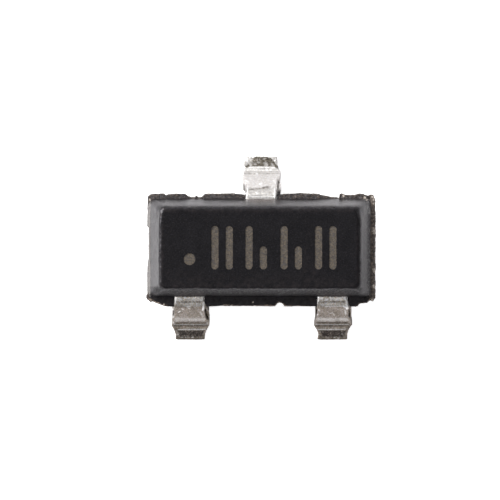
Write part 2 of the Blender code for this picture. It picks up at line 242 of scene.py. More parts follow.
# ================================================================ the leads' line and widths
class Fold:
    """The line that the middle of a lead's strip follows, by its length s from where it leaves the body."""

    def __init__(self):
        a = math.radians(BEND_ANGLE)
        self.angle = a
        self.arc = BEND_R * a
        drop = LEAD_PLANE - LEAD_THICK / 2
        leg = (drop - 2 * BEND_R * (1 - math.cos(a))) / math.sin(a)
        self.knees = (SHOULDER, SHOULDER + self.arc, SHOULDER + self.arc + leg, SHOULDER + 2 * self.arc + leg)
        self.foot_from = SHOULDER + 2 * BEND_R * math.sin(a) + leg * math.cos(a)
        self.length = self.knees[3] + (LEAD_SPAN / 2 - BODY_HALF_Y - self.foot_from)

    def at(self, s):
        """(distance from the body, height, slope) of the strip's middle."""
        k, a, r = self.knees, self.angle, BEND_R
        if s <= k[0]:
            return s, LEAD_PLANE, 0.0
        if s <= k[1]:
            f = (s - k[0]) / r
            return k[0] + r * math.sin(f), LEAD_PLANE - r * (1 - math.cos(f)), f
        u, z = k[0] + r * math.sin(a), LEAD_PLANE - r * (1 - math.cos(a))
        run = min(s, k[2]) - k[1]
        u, z = u + run * math.cos(a), z - run * math.sin(a)
        if s <= k[2]:
            return u, z, a
        f = max(a - (s - k[2]) / r, 0.0)
        u, z = u + r * (math.sin(a) - math.sin(f)), z - r * (math.cos(f) - math.cos(a))
        return (u, z, f) if s <= k[3] else (u + s - k[3], z, 0.0)

    def length_at(self, distance):
        """s where the strip's middle is this far from the body."""
        low, high = -2.0, self.length + 0.5
        for _ in range(60):
            middle = (low + high) / 2
            if self.at(middle)[0] < distance:
                low = middle
            else:
                high = middle
        return (low + high) / 2


FOLD = Fold()


def inner_table(number):
    if number == 3:
        return PADDLE
    if number == 1:
        return POST
    return tuple((d, r, l) for d, l, r in POST[:3]) + POST[3:]


def width_table(number):
    return inner_table(number) + (OUTER_1, OUTER_2, OUTER_3)[number - 1]


def pocket_rings(number, grow):
    """The room that the epoxy leaves round a lead, as the CAD has it inside the body, and closer outside."""
    play = grow
    table = width_table(number)
    toe_from = TOE_FROM[number - 1]
    stops = {FOLD.length_at(d) for d, _, _ in table[:-1]}
    for start in (FOLD.knees[0], FOLD.knees[2]):
        stops |= {start + FOLD.arc * i / 5 for i in range(6)}
    stops |= {FOLD.length_at(toe_from), FOLD.length_at(toe_from + TOE_FALL), FOLD.length}
    kept = []
    for s in sorted(stops):
        if not kept or s - kept[-1] > 0.004:
            kept.append(s)
    kept[-1] = FOLD.length
    side = 1.0 if number == 3 else -1.0
    rings = []
    for i, s in enumerate(kept):
        u, z, slope = FOLD.at(s)
        grow = play + (LEAD_PLAY - play) * ramp(u, -0.060, -0.020)
        left, right = (max(pair) for pair in zip(*(along(table, u + way * grow) for way in (-1.0, 0.0, 1.0))))
        end = (i == len(kept) - 1) - (i == 0)
        u_end = u + end * grow
        top, base = LEAD_THICK / 2 + grow, -LEAD_THICK / 2 - grow
        low_x, high_x = LEAD_X[number - 1] - left - grow, LEAD_X[number - 1] + right + grow
        c = 0.012
        ring = []
        for x, h in (
            (low_x + c, base), (high_x - c, base), (high_x, base + c), (high_x, top - c),
            (high_x - c, top), (low_x + c, top), (low_x, top - c), (low_x, base + c),
        ):
            ring.append((x, side * (BODY_HALF_Y + u_end + h * math.sin(slope)), z + h * math.cos(slope)))
        rings.append(ring)
    return rings


# ================================================================ body
SIDE_X, SIDE_Y, ARC = 190, 84, 10  # points along the long sides, the short sides and each upright corner
ROUND_STEPS, SIDE_STEPS = 10, 18
# radius of the rounded upper edge at +X, +Y, -X and -Y: the mould is worn more on the first two
UPPER_R = (0.082, 0.068, 0.050, 0.040)
LOWER_R = (EDGE_R,) * 4
TOP_REACH = (TOP_HALF_X - 0.004, TOP_HALF_Y + 0.011, TOP_HALF_X - 0.004, TOP_HALF_Y + 0.012)


def stations():
    """(corner or side number, place along it, weights of the four sides) once round, anticlockwise from +X."""
    found = []
    for quarter in range(4):
        for i in range(ARC + 1):
            share = i / ARC
            eased = share * share * (3 - 2 * share)
            weights = [0.0] * 4
            weights[quarter] = 1 - eased
            weights[(quarter + 1) % 4] = eased
            found.append((quarter, share, True, weights))
        steps = SIDE_X if quarter % 2 == 0 else SIDE_Y
        weights = [0.0] * 4
        weights[(quarter + 1) % 4] = 1.0
        found += [(quarter, i / steps, False, weights) for i in range(1, steps)]
    return found


STATIONS = stations()
SIGNS = ((1, 1), (-1, 1), (-1, -1), (1, -1))


def body_ring(reach, radius, heights):
    """Points once round a rounded rectangle that reaches this far to +X, +Y, -X and -Y, at each side's height."""
    points = []
    for quarter, share, corner, weights in STATIONS:
        ends = []
        for q, angle in ((quarter, 90.0 * (quarter + (share if corner else 1.0))), ((quarter + 1) % 4, 90.0 * (quarter + 1))):
            sx, sy = SIGNS[q]
            cx = sx * (reach[0 if sx > 0 else 2] - radius)
            cy = sy * (reach[1 if sy > 0 else 3] - radius)
            f = math.radians(angle)
            ends.append((cx + radius * math.cos(f), cy + radius * math.sin(f)))
        (x0, y0), (x1, y1) = ends
        x, y = (x0, y0) if corner else (x0 + (x1 - x0) * share, y0 + (y1 - y0) * share)
        points.append((x, y, sum(w * h for w, h in zip(weights, heights))))
    return points


def body_levels():
    """(reach to the four sides, corner radius, the four heights, how rough) from the underside up."""
    # the sides meet the flash a little further out than the parting plane's nominal size
    whole = (BODY_HALF_X + 0.013, BODY_HALF_Y + 0.014, BODY_HALF_X + 0.004, BODY_HALF_Y + 0.012)
    levels = []
    for halves, face, way, radii in (
        ((BASE_HALF_X, BASE_HALF_Y) * 2, STANDOFF, 1.0, LOWER_R), (TOP_REACH, HEIGHT, -1.0, UPPER_R),
    ):
        high = abs(LEAD_PLANE - face)
        turns, backs = [], []
        for full, half, r in zip(whole, halves, radii):
            turn = math.radians(90.0) - math.atan((full - half) / high)
            turns.append(turn)
            backs.append(r * math.tan(turn / 2))
        made = []
        turn_r = (0.8 if way > 0 else 1.25) * CORNER_R
        for more in (0.034, 0.014):
            made.append(([h - b - more for h, b in zip(halves, backs)], max(turn_r - 0.030 - more, 0.012), [face] * 4, 0.0))
        for k in range(ROUND_STEPS + 1):
            insets, rises = [], []
            for turn, back, r in zip(turns, backs, radii):
                f = turn * k / ROUND_STEPS
                insets.append(back - r * math.sin(f))
                rises.append(r * (1 - math.cos(f)))
            made.append((
                [h - i for h, i in zip(halves, insets)], max(turn_r - 0.6 * max(sum(insets) / 4, 0.0), 0.020),
                [face + way * r for r in rises], min(1.0, max(0.0, k / 4)),
            ))
        last_reach, last_radius, last_heights, _ = made[-1]
        for i in range(1, SIDE_STEPS):
            t = i / SIDE_STEPS
            made.append((
                [a + t * (b - a) for a, b in zip(last_reach, whole)], last_radius + t * (CORNER_R - last_radius),
                [h + t * (LEAD_PLANE - h) for h in last_heights], 1.0,
            ))
        if way < 0:
            levels.append((list(whole), CORNER_R, [LEAD_PLANE] * 4, 1.0))
            made.reverse()
        levels += made
    return levels


def make_body():
    rings = []
    for reach, radius, heights, rough in body_levels():
        outline = body_ring(reach, radius, heights)
        count = len(outline)
        ring = []
        for i, (x, y, z) in enumerate(outline):
            if rough:
                # the mould's surface: long shallow waves, and worn, slightly ragged upper edges
                (xa, ya, _), (xb, yb, _) = outline[i - 1], outline[(i + 1) % count]
                nx, ny = yb - ya, xa - xb
                size = math.hypot(nx, ny)
                near_face = ramp(z, HEIGHT - 0.11, HEIGHT - 0.02)
                push = 0.0030 * grain(x, y, z, 0.35, 2, 5.0) + 0.0011 * grain(x, y, z, 0.060, 3, 9.0)
                push += near_face * (0.0058 * grain(x, y, z * 0.4, 0.075, 3, 14.0) + 0.0020 * grain(x, y, z, 0.022, 2, 15.0))
                push -= 0.0120 * ramp(z, HEIGHT - 0.16, HEIGHT - 0.03) * ramp(-x, 1.20, 1.28) * bump_at(y, 0.450, 0.130)
                push -= 0.0170 * ramp(z, HEIGHT - 0.16, HEIGHT - 0.03) * ramp(x, 1.20, 1.28) * bump_at(y, 0.480, 0.110)
                x, y = x + rough * nx / size * push, y + rough * ny / size * push
                if 0 < near_face:
                    z += near_face * rough * 0.0016 * grain(x, y, 0.0, 0.035, 3, 17.0)
                    z = min(z, HEIGHT)
            ring.append((x + BODY_SHIFT, y, z))
        rings.append(ring)
    return loft("epoxy_body_moulded", rings)


def make_lip(number):
    """The little resin that bled out over the top of a lead where it leaves the body."""
    facing = 1.0 if number == 3 else -1.0
    low, high = along((OUTER_1, OUTER_2, OUTER_3)[number - 1], 0.0)
    x0, x1 = LEAD_X[number - 1] - low - 0.014, LEAD_X[number - 1] + high + 0.014
    rings = []
    for i in range(61):
        x = x0 + (x1 - x0) * i / 60
        ends = ramp(i, -1, 5) * ramp(60 - i, -1, 5)
        out = (0.0150 + 0.0055 * grain(x, 0, number, 0.060, 3, 25.0) + 0.0025 * grain(x, 1, number, 0.020, 2, 27.0)) * ends
        crest = 0.6145 + 0.0020 * grain(x, 2, number, 0.040, 2, 29.0)
        ring = [
            (0.600, 0.560), (0.6330 + out, 0.560), (0.6335 + out, 0.603), (0.6315 + out, 0.6075),
            (0.6285 + 0.75 * out, 0.5 * (0.6075 + crest) + 0.002), (0.6260 + 0.4 * out, crest + 0.002), (0.6235, crest + 0.010), (0.600, crest + 0.012),
        ]
        rings.append([(x, facing * y, z) for y, z in ring])
    return loft(f"resin_lip_{number}", rings)


def lead_side(number, side, distance):
    low, high = along((OUTER_1, OUTER_2, OUTER_3)[number - 1], distance)
    return LEAD_X[number - 1] + (high + FLASH_BY_LEAD if side > 0 else -low - FLASH_BY_LEAD)


def beside_lead(number, side, outwards):
    reach = BESIDE_LEAD[number - 1]
    facing = 1.0 if number == 3 else -1.0
    points = [(lead_side(number, side, max(d, 0.0)), facing * (BODY_HALF_Y + d)) for d in (-0.030, 0.0, reach / 2, reach)]
    return points if outwards else points[::-1]


def flash_runs():
    """(X, Y, whether the edge from here is broken) anticlockwise seen from above."""
    runs = []
    for points, broken in (
        (beside_lead(1, 1, True), False), (BROKEN_BASE_MIDDLE, True),
        (beside_lead(2, -1, False), False), (beside_lead(2, 1, True), False), (BROKEN_RIGHT, True),
        (beside_lead(3, 1, False), False), (beside_lead(3, -1, True), False), (BROKEN_LEFT, True),
        (beside_lead(1, -1, False), False),
    ):
        runs += [(x, y, broken) for x, y in points]
    return runs


# the flash is built from its rim inwards along lines that fan out from a core rectangle
CORE_X, CORE_Y, ROOT = 1.350, 0.530, 0.050
BACK = (0.0, 0.0030, 0.0070, 0.0120, 0.0180, 0.0260, 0.0360, 0.0500, 0.0680, 0.0900)
FLASH_LOW, FLASH_HIGH = 0.490, 0.562


def core_line(x, y):
    """(core point, direction outwards, distance) of the line through a point of the rim."""
    cx = min(max(x - BODY_SHIFT, -CORE_X), CORE_X) + BODY_SHIFT
    cy = min(max(y, -CORE_Y), CORE_Y)
    far = math.hypot(x - cx, y - cy)
    return (cx, cy), ((x - cx) / far, (y - cy) / far), far


def rim_stations():
    """(core point, direction, distance, how rough) round the rim, anticlockwise, always moving on."""
    runs = flash_runs()
    fine = []
    for (x0, y0, b0), (x1, y1, b1) in zip(runs, runs[1:] + runs[:1]):
        steps = max(1, round(math.hypot(x1 - x0, y1 - y0) / (0.0085 if b0 or b1 else 0.0220)))
        for i in range(steps):
            t = i / steps
            rough = 1.0 if b0 and b1 else 0.4 if (b0 or b1) and 0.3 < (t if b1 else 1 - t) else 0.0
            x, y = x0 + t * (x1 - x0), y0 + t * (y1 - y0)
            if fine and abs(y) > CORE_Y + 0.02 and abs(x - BODY_SHIFT) < CORE_X:
                before = fine[-1][0]
                x = max(x, before + 0.0005) if y < 0 else min(x, before - 0.0005) if before - BODY_SHIFT < CORE_X else x
            fine.append((x, y, rough))
    return [(*core_line(x, y), rough) for x, y, rough in fine]


RIM = rim_stations()


def rim_noise(x, y, z):
    return (
        0.0050 * grain(x, y, z * 0.5, 0.070, 2, 21.0)
        + 0.0050 * grain(x, y, z, 0.026, 2, 33.0)
        - 0.0060 * max(0.0, grain(x, y, z * 0.3, 0.040, 1, 47.0) - 0.25)
        + (0.0070 if y > 0.60 else 0.0260 * ramp(-x, 1.440, 1.470))
    )


def sides_of(direction, y):
    """How much of the +X, +Y, -X and -Y side a direction belongs to."""
    dx, dy = direction
    return ramp(dx, 0.35, 0.85), ramp(dy, 0.35, 0.85), ramp(-dx, 0.80, 0.995) * ramp(0.640 - abs(y), 0.0, 0.060), ramp(-dy, 0.35, 0.85)


def ledge_height(x, y, far, back, direction, rough):
    """Height of the flash's upper face, this far in from its rim."""
    plus_x, plus_y, minus_x, minus_y = sides_of(direction, y)
    out = max(0.0, far - back - 0.108)
    z = FLASH_HIGH - out * (0.30 * plus_x + 0.20 * plus_y)
    z += (0.0012 + 0.0030 * plus_x + 0.0026 * plus_y) * grain(x, y, 0.0, 0.045, 3, 51.0)
    z += (0.0030 * plus_x + 0.0014 * plus_y) * grain(x, y, 0.0, 0.018, 2, 53.0)
    # the snapped rim is rounded off and chipped
    chip = 0.011 + 0.010 * max(0.0, grain(x, y, 0.0, 0.050, 2, 57.0)) + 0.010 * plus_x
    wide = 0.011 + 0.010 * max(0.0, grain(x, y, 1.0, 0.060, 2, 59.0)) + 0.008 * plus_x
    t = max(0.0, 1 - back / wide)
    z -= rough * chip * t**1.6
    if z < 0.532:
        z = 0.514 + 0.018 * math.exp((z - 0.532) / 0.018)  # the web never thins out to nothing at the corners
    # on -X the flash is only a skirt that runs on from the body's side
    skirt = 0.504 + 2.75 * max(0.0, 0.1397 - (far - back)) + 0.0010 * grain(x, y, 0.0, 0.04, 2, 61.0)
    skirt = min(skirt, 0.614)
    return z + minus_x * (skirt - z)


def make_flash():
    """The web of epoxy squeezed out at the parting plane, snapped off along a rough line."""
    low_rows, wall_rows, high_rows = [], [], []

    def place(core, direction, far, rough, back, z, fade):
        x, y = core[0] + direction[0] * (far - back), core[1] + direction[1] * (far - back)
        push = fade * rough * rim_noise(x, y, z)
        return (x + direction[0] * push, y + direction[1] * push, z)

    last = len(BACK) - 1
    for k, step in enumerate(BACK):
        low, high = [], []
        for core, direction, far, rough in RIM:
            room = far - ROOT
            back = step * min(1.0, room / (BACK[-1] + 0.012))
            x, y = core[0] + direction[0] * (far - back), core[1] + direction[1] * (far - back)
            fade = 1.0 - k / last
            calm = 0.45 + 0.55 * ramp(direction[0] * -1.0, 0.80, 0.99) * ramp(0.62 - abs(y), 0.0, 0.04)
            edge = rough * (1.0 if calm < 0.5 else 0.35)
            z_high = ledge_height(x, y, far, back, direction, rough)
            z_low = FLASH_LOW + 0.0020 * grain(x, y, 3.0, 0.05, 2, 63.0) + rough * 0.010 * max(0.0, 1 - back / 0.012) ** 1.6
            high.append(place(core, direction, far, edge, back, z_high, fade))
            low.append(place(core, direction, far, edge, back, z_low, fade))
        low_rows.append(low)
        high_rows.append(high)
    levels = 7
    for j in range(1, levels):
        ring = []
        for i, (core, direction, far, rough) in enumerate(RIM):
            t = j / levels
            z = low_rows[0][i][2] + t * (high_rows[0][i][2] - low_rows[0][i][2])
            y = core[1] + direction[1] * far
            skirt = ramp(direction[0] * -1.0, 0.80, 0.99) * ramp(0.62 - abs(y), 0.0, 0.04)
            edge = rough * (1.0 - 0.65 * (skirt > 0))
            point = place(core, direction, far, edge, 0.0, z, 1.0)
            bulge = rough * 0.0020 * math.sin(math.pi * t)
            wall = (point[0] + direction[0] * bulge, point[1] + direction[1] * bulge, z)
            ring.append(wall)
        wall_rows.append(ring)
    inner_low = [(c[0] + d[0] * ROOT, c[1] + d[1] * ROOT, 0.500) for c, d, _, _ in RIM]
    inner_high = [(c[0] + d[0] * ROOT, c[1] + d[1] * ROOT, 0.560) for c, d, _, _ in RIM]
    return loft("flash_web", [inner_low] + low_rows[::-1] + wall_rows + high_rows + [inner_high])


# ---------------------------------------------------------------- the mark: a pin-1 dot and a row of plain bars
MARK_DEPTH = 0.0085
MARK_DOT = (-0.958, -0.150, 0.078)
# centre X, centre Y, half width, half length
MARK_BARS = (
    (-0.622, 0.003, 0.048, 0.288), (-0.432, 0.003, 0.048, 0.288),
    (-0.170, 0.003, 0.048, 0.288), (0.020, -0.132, 0.048, 0.153),
    (0.294, 0.003, 0.048, 0.288), (0.484, -0.132, 0.048, 0.153),
    (0.752, 0.003, 0.048, 0.288), (0.942, 0.003, 0.048, 0.288),
)


def bar_cutter(name, x0, y0, half_w, half_l):
    """A bar with round ends whose lower face is as rough as laser-ablated epoxy."""
    across, down = 8, max(8, round(2 * half_l / 0.010))
    floor, high = [], HEIGHT + 0.03
    for r in range(down + 1):
        # rows close up towards the round ends
        y = -half_l * math.cos(math.pi * r / down) if half_l < 1.2 * half_w else -half_l + 2 * half_l * r / down
        over = max(0.0, abs(y) - (half_l - half_w))
        wide = math.sqrt(max(half_w**2 - over**2, (0.30 * half_w) ** 2))
        row = []
        for c in range(across + 1):
            x = wide * (-1 + 2 * c / across)
            px, py = x0 + x, y0 + y
            rim = c in (0, across) or r in (0, down)
            if rim:
                px += 0.0032 * grain(px, py, 1.0, 0.030, 2, 61.0)
                py += 0.0032 * grain(px, py, 2.0, 0.030, 2, 71.0)
            depth = MARK_DEPTH * (1 + 0.42 * grain(px, py, 0.0, 0.032, 2, 83.0))
            row.append((px, py, HEIGHT - depth))
        floor.append(row)
    points, faces = [], []
    ring = []
    for r, row in enumerate(floor):
        for c, p in enumerate(row):
            points.append(p)
    n = across + 1
    for r in range(down):
        for c in range(across):
            a = r * n + c
            faces.append((a, a + 1, a + n + 1, a + n))
    ring = [c for c in range(n)] + [r * n + across for r in range(1, down + 1)]
    ring += [down * n + c for c in range(across - 1, -1, -1)] + [r * n for r in range(down - 1, 0, -1)]
    base = len(points)
    cx, cy = x0, y0
    for i in ring:
        px, py, _ = points[i]
        # the wall leans out a little
        points.append((px + 0.02 * (px - cx) * 1.0, py + 0.004 * (py - cy), high))
    m = len(ring)
    for i in range(m):
        j = (i + 1) % m
        faces.append((ring[j], ring[i], base + i, base + j))
    faces.append(tuple(base + i for i in range(m)))
    return outward(mesh_from(name, points, faces))


def box_rings(half_x, half_y, low, high, spread=0.0):
    x0, y0 = DIE_AT
    rings = []
    for z, more in ((low, spread), (high, 0.0)):
        hx, hy = half_x + more, half_y + more
        rings.append([(x0 + sx * hx, y0 + sy * hy, z) for sx, sy in ((1, 1), (-1, 1), (-1, -1), (1, -1))])
    return rings


def wire_rings(number, grow=0.0, sides=8, fall_steps=9):
    """Rings of one bond wire: the ball on the die, the loop, and the flattened stitch on the post."""
    (x0, y0), (x1, y1) = WIRES[number - 1]
    run = math.hypot(x1 - x0, y1 - y0)
    ux, uy = (x1 - x0) / run, (y1 - y0) / run
    ball_low = DIE_HIGH + SEAT
    stitch_low = PADDLE_TOP + SEAT
    ball_high = ball_low + BALL_THICK
    crest = DIE_HIGH + LOOP_RISE
    rings = []

    def ring(d, z, slope, half_wide, half_high):
        a = math.radians(slope)
        points = []
        for i in range(sides):
            t = 2 * math.pi * (i + 0.5) / sides
            over, up = half_wide * math.cos(t), half_high * math.sin(t)
            e = d - up * math.sin(a)
            points.append((x0 + ux * e - uy * over, y0 + uy * e + ux * over, z + up * math.cos(a)))
        rings.append(points)

    ring(0.0, ball_low - grow, 90, 0.8 * BALL_R + grow, 0.8 * BALL_R + grow)
    if sides > 8:
        ring(0.0, ball_low + 0.10 * BALL_THICK, 90, 0.94 * BALL_R, 0.94 * BALL_R)
    ring(0.0, ball_low + 0.3 * BALL_THICK, 90, BALL_R + grow, BALL_R + grow)
    if sides > 8:
        ring(0.0, ball_low + 0.6 * BALL_THICK, 90, 0.99 * BALL_R, 0.99 * BALL_R)
    ring(0.0, ball_low + 0.8 * BALL_THICK, 90, 0.9 * BALL_R + grow, 0.9 * BALL_R + grow)
    if sides > 8:
        # the capillary's cone above the squashed ball
        ring(0.0, ball_low + 0.95 * BALL_THICK, 90, 0.72 * BALL_R, 0.72 * BALL_R)
    ring(0.0, ball_high + 0.006, 90, WIRE_R + 0.002 + grow, WIRE_R + 0.002 + grow)
    turn = min(0.045, 0.3 * run)
    quarter = 4 if sides == 8 else 10
    for i in range(quarter + 1):
        a = 90.0 * (1 - i / quarter)
        ring(turn * (1 - math.sin(math.radians(a))), crest - turn * (1 - math.cos(math.radians(a))), a, WIRE_R + grow, WIRE_R + grow)
    end = (run - STITCH_LONG / 2, stitch_low + WIRE_R)

    def height(t):
        t = min(max(t, 0.0), 1.0)
        return crest + (0.5 * t * t * (3 - 2 * t) + 0.5 * t**2.2) * (end[1] - crest)

    for i in range(1, fall_steps):
        t = i / fall_steps
        slope = math.atan2(height(t + 0.02) - height(t - 0.02), 0.04 * (end[0] - turn))
        ring(turn + t * (end[0] - turn), height(t), math.degrees(slope), WIRE_R + grow, WIRE_R + grow)
    ring(run - STITCH_LONG / 2, stitch_low + 0.0095, 0, WIRE_R + 0.002 + grow, 0.0095 + grow)
    ring(run, stitch_low + 0.006, 0, WIRE_R + 0.010 + grow, 0.006 + grow)
    ring(run + STITCH_LONG / 2 + grow, stitch_low + 0.003, 0, WIRE_R + grow, 0.003 + grow)
    return rings


def finish_body(body, extra):
    tools = bpy.data.collections.new("cut_away")
    more = bpy.data.collections.new("joined_on")
    for c in (tools, more):
        bpy.context.scene.collection.children.link(c)
    for o in extra:
        bpy.context.scene.collection.objects.unlink(o)
        more.objects.link(o)
    cutters = [loft(f"cut_lead_{n}", pocket_rings(n, CLEARANCE)) for n in (1, 2, 3)]
    spread = GLUE_FILLET * (GLUE_THICK + 2 * CLEARANCE) / GLUE_THICK
    cutters.append(loft("cut_glue", box_rings(DIE_X / 2 + CLEARANCE, DIE_Y / 2 + CLEARANCE, GLUE_LOW - CLEARANCE, GLUE_HIGH + CLEARANCE, spread)))
    cutters.append(loft("cut_die", box_rings(DIE_X / 2 + CLEARANCE, DIE_Y / 2 + CLEARANCE, DIE_LOW - CLEARANCE, DIE_HIGH + CLEARANCE)))
    cutters += [loft(f"cut_wire_{n}", wire_rings(n, CLEARANCE)) for n in (1, 2, 3)]
    cutters += [bar_cutter(f"cut_mark_{i}", *bar) for i, bar in enumerate(MARK_BARS)]
    x, y, r = MARK_DOT
    cutters.append(bar_cutter("cut_mark_dot", x, y, r, r))
    for c in cutters:
        bpy.context.scene.collection.objects.unlink(c)
        tools.objects.link(c)
    join = body.modifiers.new("join", "BOOLEAN")
    join.operation, join.solver, join.operand_type, join.collection = "UNION", "EXACT", "COLLECTION", more
    cut = body.modifiers.new("cut", "BOOLEAN")
    cut.operation, cut.solver, cut.operand_type, cut.collection = "DIFFERENCE", "EXACT", "COLLECTION", tools
    applied(body)
    discard(*extra, *cutters)
    bpy.data.collections.remove(tools)
    bpy.data.collections.remove(more)
    return body


# pale chips on the snapped rim, lighter also as painted glints where the chips catch the light: X, Y, radius
CHIPS_AND_GLINTS = (
    (1.085, 0.693, 0.014), (1.372, 0.668, 0.020), (1.398, 0.640, 0.010), (1.475, 0.680, 0.020), (1.492, 0.640, 0.018),
    (1.494, 0.590, 0.015), (1.492, 0.252, 0.020), (1.494, 0.225, 0.024), (1.492, 0.198, 0.016), (1.494, -0.290, 0.020),
    (1.492, -0.312, 0.014), (1.490, -0.500, 0.018), (1.492, -0.524, 0.013), (1.470, -0.690, 0.016), (1.508, 0.020, 0.011),
    (1.510, -0.130, 0.010), (-0.118, -0.722, 0.010), (-1.300, -0.752, 0.010), (0.075, 0.695, 0.010),
    (-1.487, 0.640, 0.013),
)


# painted glints: bright streaks where the worn, rounded edges of the drafted sides and their foot catch the light, seen
# from above: from X, Y to X, Y, width, strength
GLINTS = (
    (-1.366, 0.494, -1.373, 0.440, 0.018, 0.42), (1.436, 0.525, 1.438, 0.445, 0.016, 0.85), (1.418, 0.540, 1.402, 0.610, 0.012, 0.60),
    (1.434, 0.034, 1.436, 0.008, 0.011, 0.60), (1.434, -0.050, 1.434, -0.072, 0.010, 0.45), (1.434, -0.160, 1.436, -0.186, 0.012, 0.65),
    (1.436, -0.330, 1.436, -0.352, 0.010, 0.45),
)


def paint_body(body):
    """Where the epoxy is snapped off, dusty or chipped, and where glints, light and shade are painted on it, as numbers
    that its material reads.
    """
    data = body.data
    tree = kdtree.KDTree(len(RIM))
    for i, (c, d, far, _) in enumerate(RIM):
        tree.insert((c[0] + d[0] * far, c[1] + d[1] * far, 0.0), i)
    tree.balance()
    rim, dust_and_side_light, pale, skin, dull, glint = [], [], [], [], [], []
    for v in data.vertices:
        x, y, z = (c / MM for c in v.co)
        _, direction, far = core_line(x, y) if abs(x - BODY_SHIFT) > CORE_X or abs(y) > CORE_Y else ((0, 0), (0, 0), 0.0)
        r = d = p = g = 0.0
        # painted glints on the drafted sides
        if far > 0.0 and z > 0.545:
            for x0, y0, x1, y1, width, strength in GLINTS:
                if min(x0, x1) - 0.04 < x < max(x0, x1) + 0.04 and min(y0, y1) - 0.04 < y < max(y0, y1) + 0.04:
                    g = max(g, capsule(x, y, (x0, y0, x1, y1, width, strength), 1.1 * grain(x, y, z, 0.018, 2, 77.0)))
        if far > 0.09 and FLASH_LOW - 0.02 < z < 0.640:
            plus_x, plus_y, minus_x, minus_y = sides_of(direction, y)
            _, index, back = tree.find((x, y, 0.0))
            rough = RIM[index][3]
            n = grain(x, y, z, 0.050, 2, 71.0)
            if z < FLASH_HIGH + 0.004 or minus_x > 0:
                r = rough * (1 - ramp(back, 0.006 + 0.008 * max(n, 0), 0.019 + 0.016 * max(n, -0.5) + 0.010 * plus_x))
                r *= 1 - 0.75 * minus_x * (z > 0.500)
                # more dust on +X and +Y than on -X and -Y: besides real dust, painted light on the lit +Y ledge and
                # painted shade on the -Y one
                if far > 0.112:
                    d = 0.95 * plus_x + 0.75 * plus_y + 0.06 * minus_y + 0.25 * minus_x
            for cx, cy, cr in CHIPS_AND_GLINTS:
                gap = math.hypot(x - cx, y - cy)
                if gap < 1.6 * cr and z > 0.52:
                    p = max(p, 1 - ramp(gap / cr + 0.45 * grain(x, y, z, 0.014, 2, 73.0), 0.6, 1.25))
        # resin bleed and the speckled zone above each lead
        for number in (1, 2, 3):
            facing = 1.0 if number == 3 else -1.0
            if facing * y > 0.55 and z > 0.585 and abs(x - LEAD_X[number - 1]) < 0.245:
                torn = grain(x, y, z, 0.070, 3, 79.0)
                near = ramp(0.235 - abs(x - LEAD_X[number - 1]) + 0.060 * torn, 0.0, 0.10)
                lip = 1 - ramp(z, 0.612, 0.640)
                d = max(d, near * (lip * 0.8 + 0.62 * (1 - ramp(z + 0.090 * torn, 0.66, 0.90))))
        # worn strip of the marked face, along its rounded edge
        # the foot of the +X side is scuffed matt, and the -Y side a little, more so over the leads
        wear = 0.0
        if FLASH_HIGH < z < 0.985:
            wave = 0.030 * grain(x, y, z * 0.3, 0.060, 3, 75.0)
            wear = ramp(x - BODY_SHIFT, 1.330, 1.352) * (0.28 + 0.50 * (1 - ramp(z + wave, 0.665, 0.765)))
            over = max(ramp(0.30 - abs(x - LEAD_X[k]) + 2.0 * wave, 0.0, 0.20) for k in (0, 1))
            upper = ramp(z + wave, 0.68, 0.82)
            front = (0.60 + 0.30 * over + 0.30 * upper) * ramp(-y, 0.50, 0.53) * ramp(1.365 - x, 0.0, 0.060)
            wear = max(wear, front, 0.42 * ramp(y, 0.50, 0.53) * ramp(z, 0.86, 0.95))
            wear = max(wear, 0.85 * ramp(z, 0.90, 0.95) * (1 - ramp(math.hypot(x + 1.316, y - 0.508), 0.030, 0.055)))
        dull.append(min(wear, 1.0))
        rim.append(r)
        dust_and_side_light.append(min(d, 1.0))
        pale.append(p)
        glint.append(g)
        inset = min(TOP_HALF_X - abs(x - BODY_SHIFT), TOP_HALF_Y - abs(y))
        skin.append(ramp(z, HEIGHT - 0.012, HEIGHT - 0.001) * (1 - ramp(inset, 0.035, 0.085)))
    for name, values in (("rim", rim), ("dust_and_side_light", dust_and_side_light), ("pale", pale), ("worn", skin), ("dull", dull), ("glint", glint)):
        point_values(body, name, values)


# ================================================================ leads
# neck half widths where a stub of the dam bar stands beside it, lower than the lead's top: distance, left, right,
# then how much of a stub there is on each side (0 none, 1 full)
STUBS = (
    (
        (0.000, 0.207, 0.176, 0.0, 0.0), (0.070, 0.206, 0.186, 0.0, 0.0), (0.100, 0.209, 0.190, 0.0, 0.3),
        (0.125, 0.213, 0.190, 0.2, 1.0), (0.150, 0.214, 0.190, 0.9, 1.0), (0.190, 0.213, 0.193, 1.0, 1.0),
        (0.225, 0.218, 0.200, 0.9, 1.0), (0.255, 0.230, 0.212, 0.3, 0.9), (0.275, 0.243, 0.240, 0.0, 0.2),
        (0.290, 0.243, 0.253, 0.0, 0.0),
    ),
    (
        (0.000, 0.207, 0.178, 0.0, 0.0), (0.080, 0.213, 0.190, 0.0, 0.0), (0.110, 0.213, 0.196, 0.3, 0.0),
        (0.140, 0.213, 0.203, 0.9, 0.6), (0.175, 0.216, 0.204, 1.0, 1.0), (0.220, 0.218, 0.204, 0.8, 1.0),
        (0.245, 0.230, 0.210, 0.1, 0.9), (0.270, 0.241, 0.232, 0.0, 0.3), (0.290, 0.241, 0.242, 0.0, 0.0),
    ),
    (
        (0.000, 0.211, 0.202, 0.0, 0.0), (0.050, 0.206, 0.202, 0.4, 0.3), (0.080, 0.198, 0.203, 1.0, 0.9),
        (0.120, 0.206, 0.208, 1.0, 1.0), (0.150, 0.216, 0.210, 0.7, 1.0), (0.168, 0.240, 0.212, 0.0, 1.0),
        (0.215, 0.248, 0.216, 0.0, 1.0), (0.240, 0.248, 0.232, 0.0, 0.6), (0.262, 0.248, 0.247, 0.0, 0.0),
    ),
)
STUB_DROP = 0.046
GROOVE = 0.016
TOP_R = 0.020  # rolled upper edges of the stamped strip
BASE_R = 0.008
ACROSS_TOP, ACROSS_BASE, ARC_TOP = 44, 18, 4


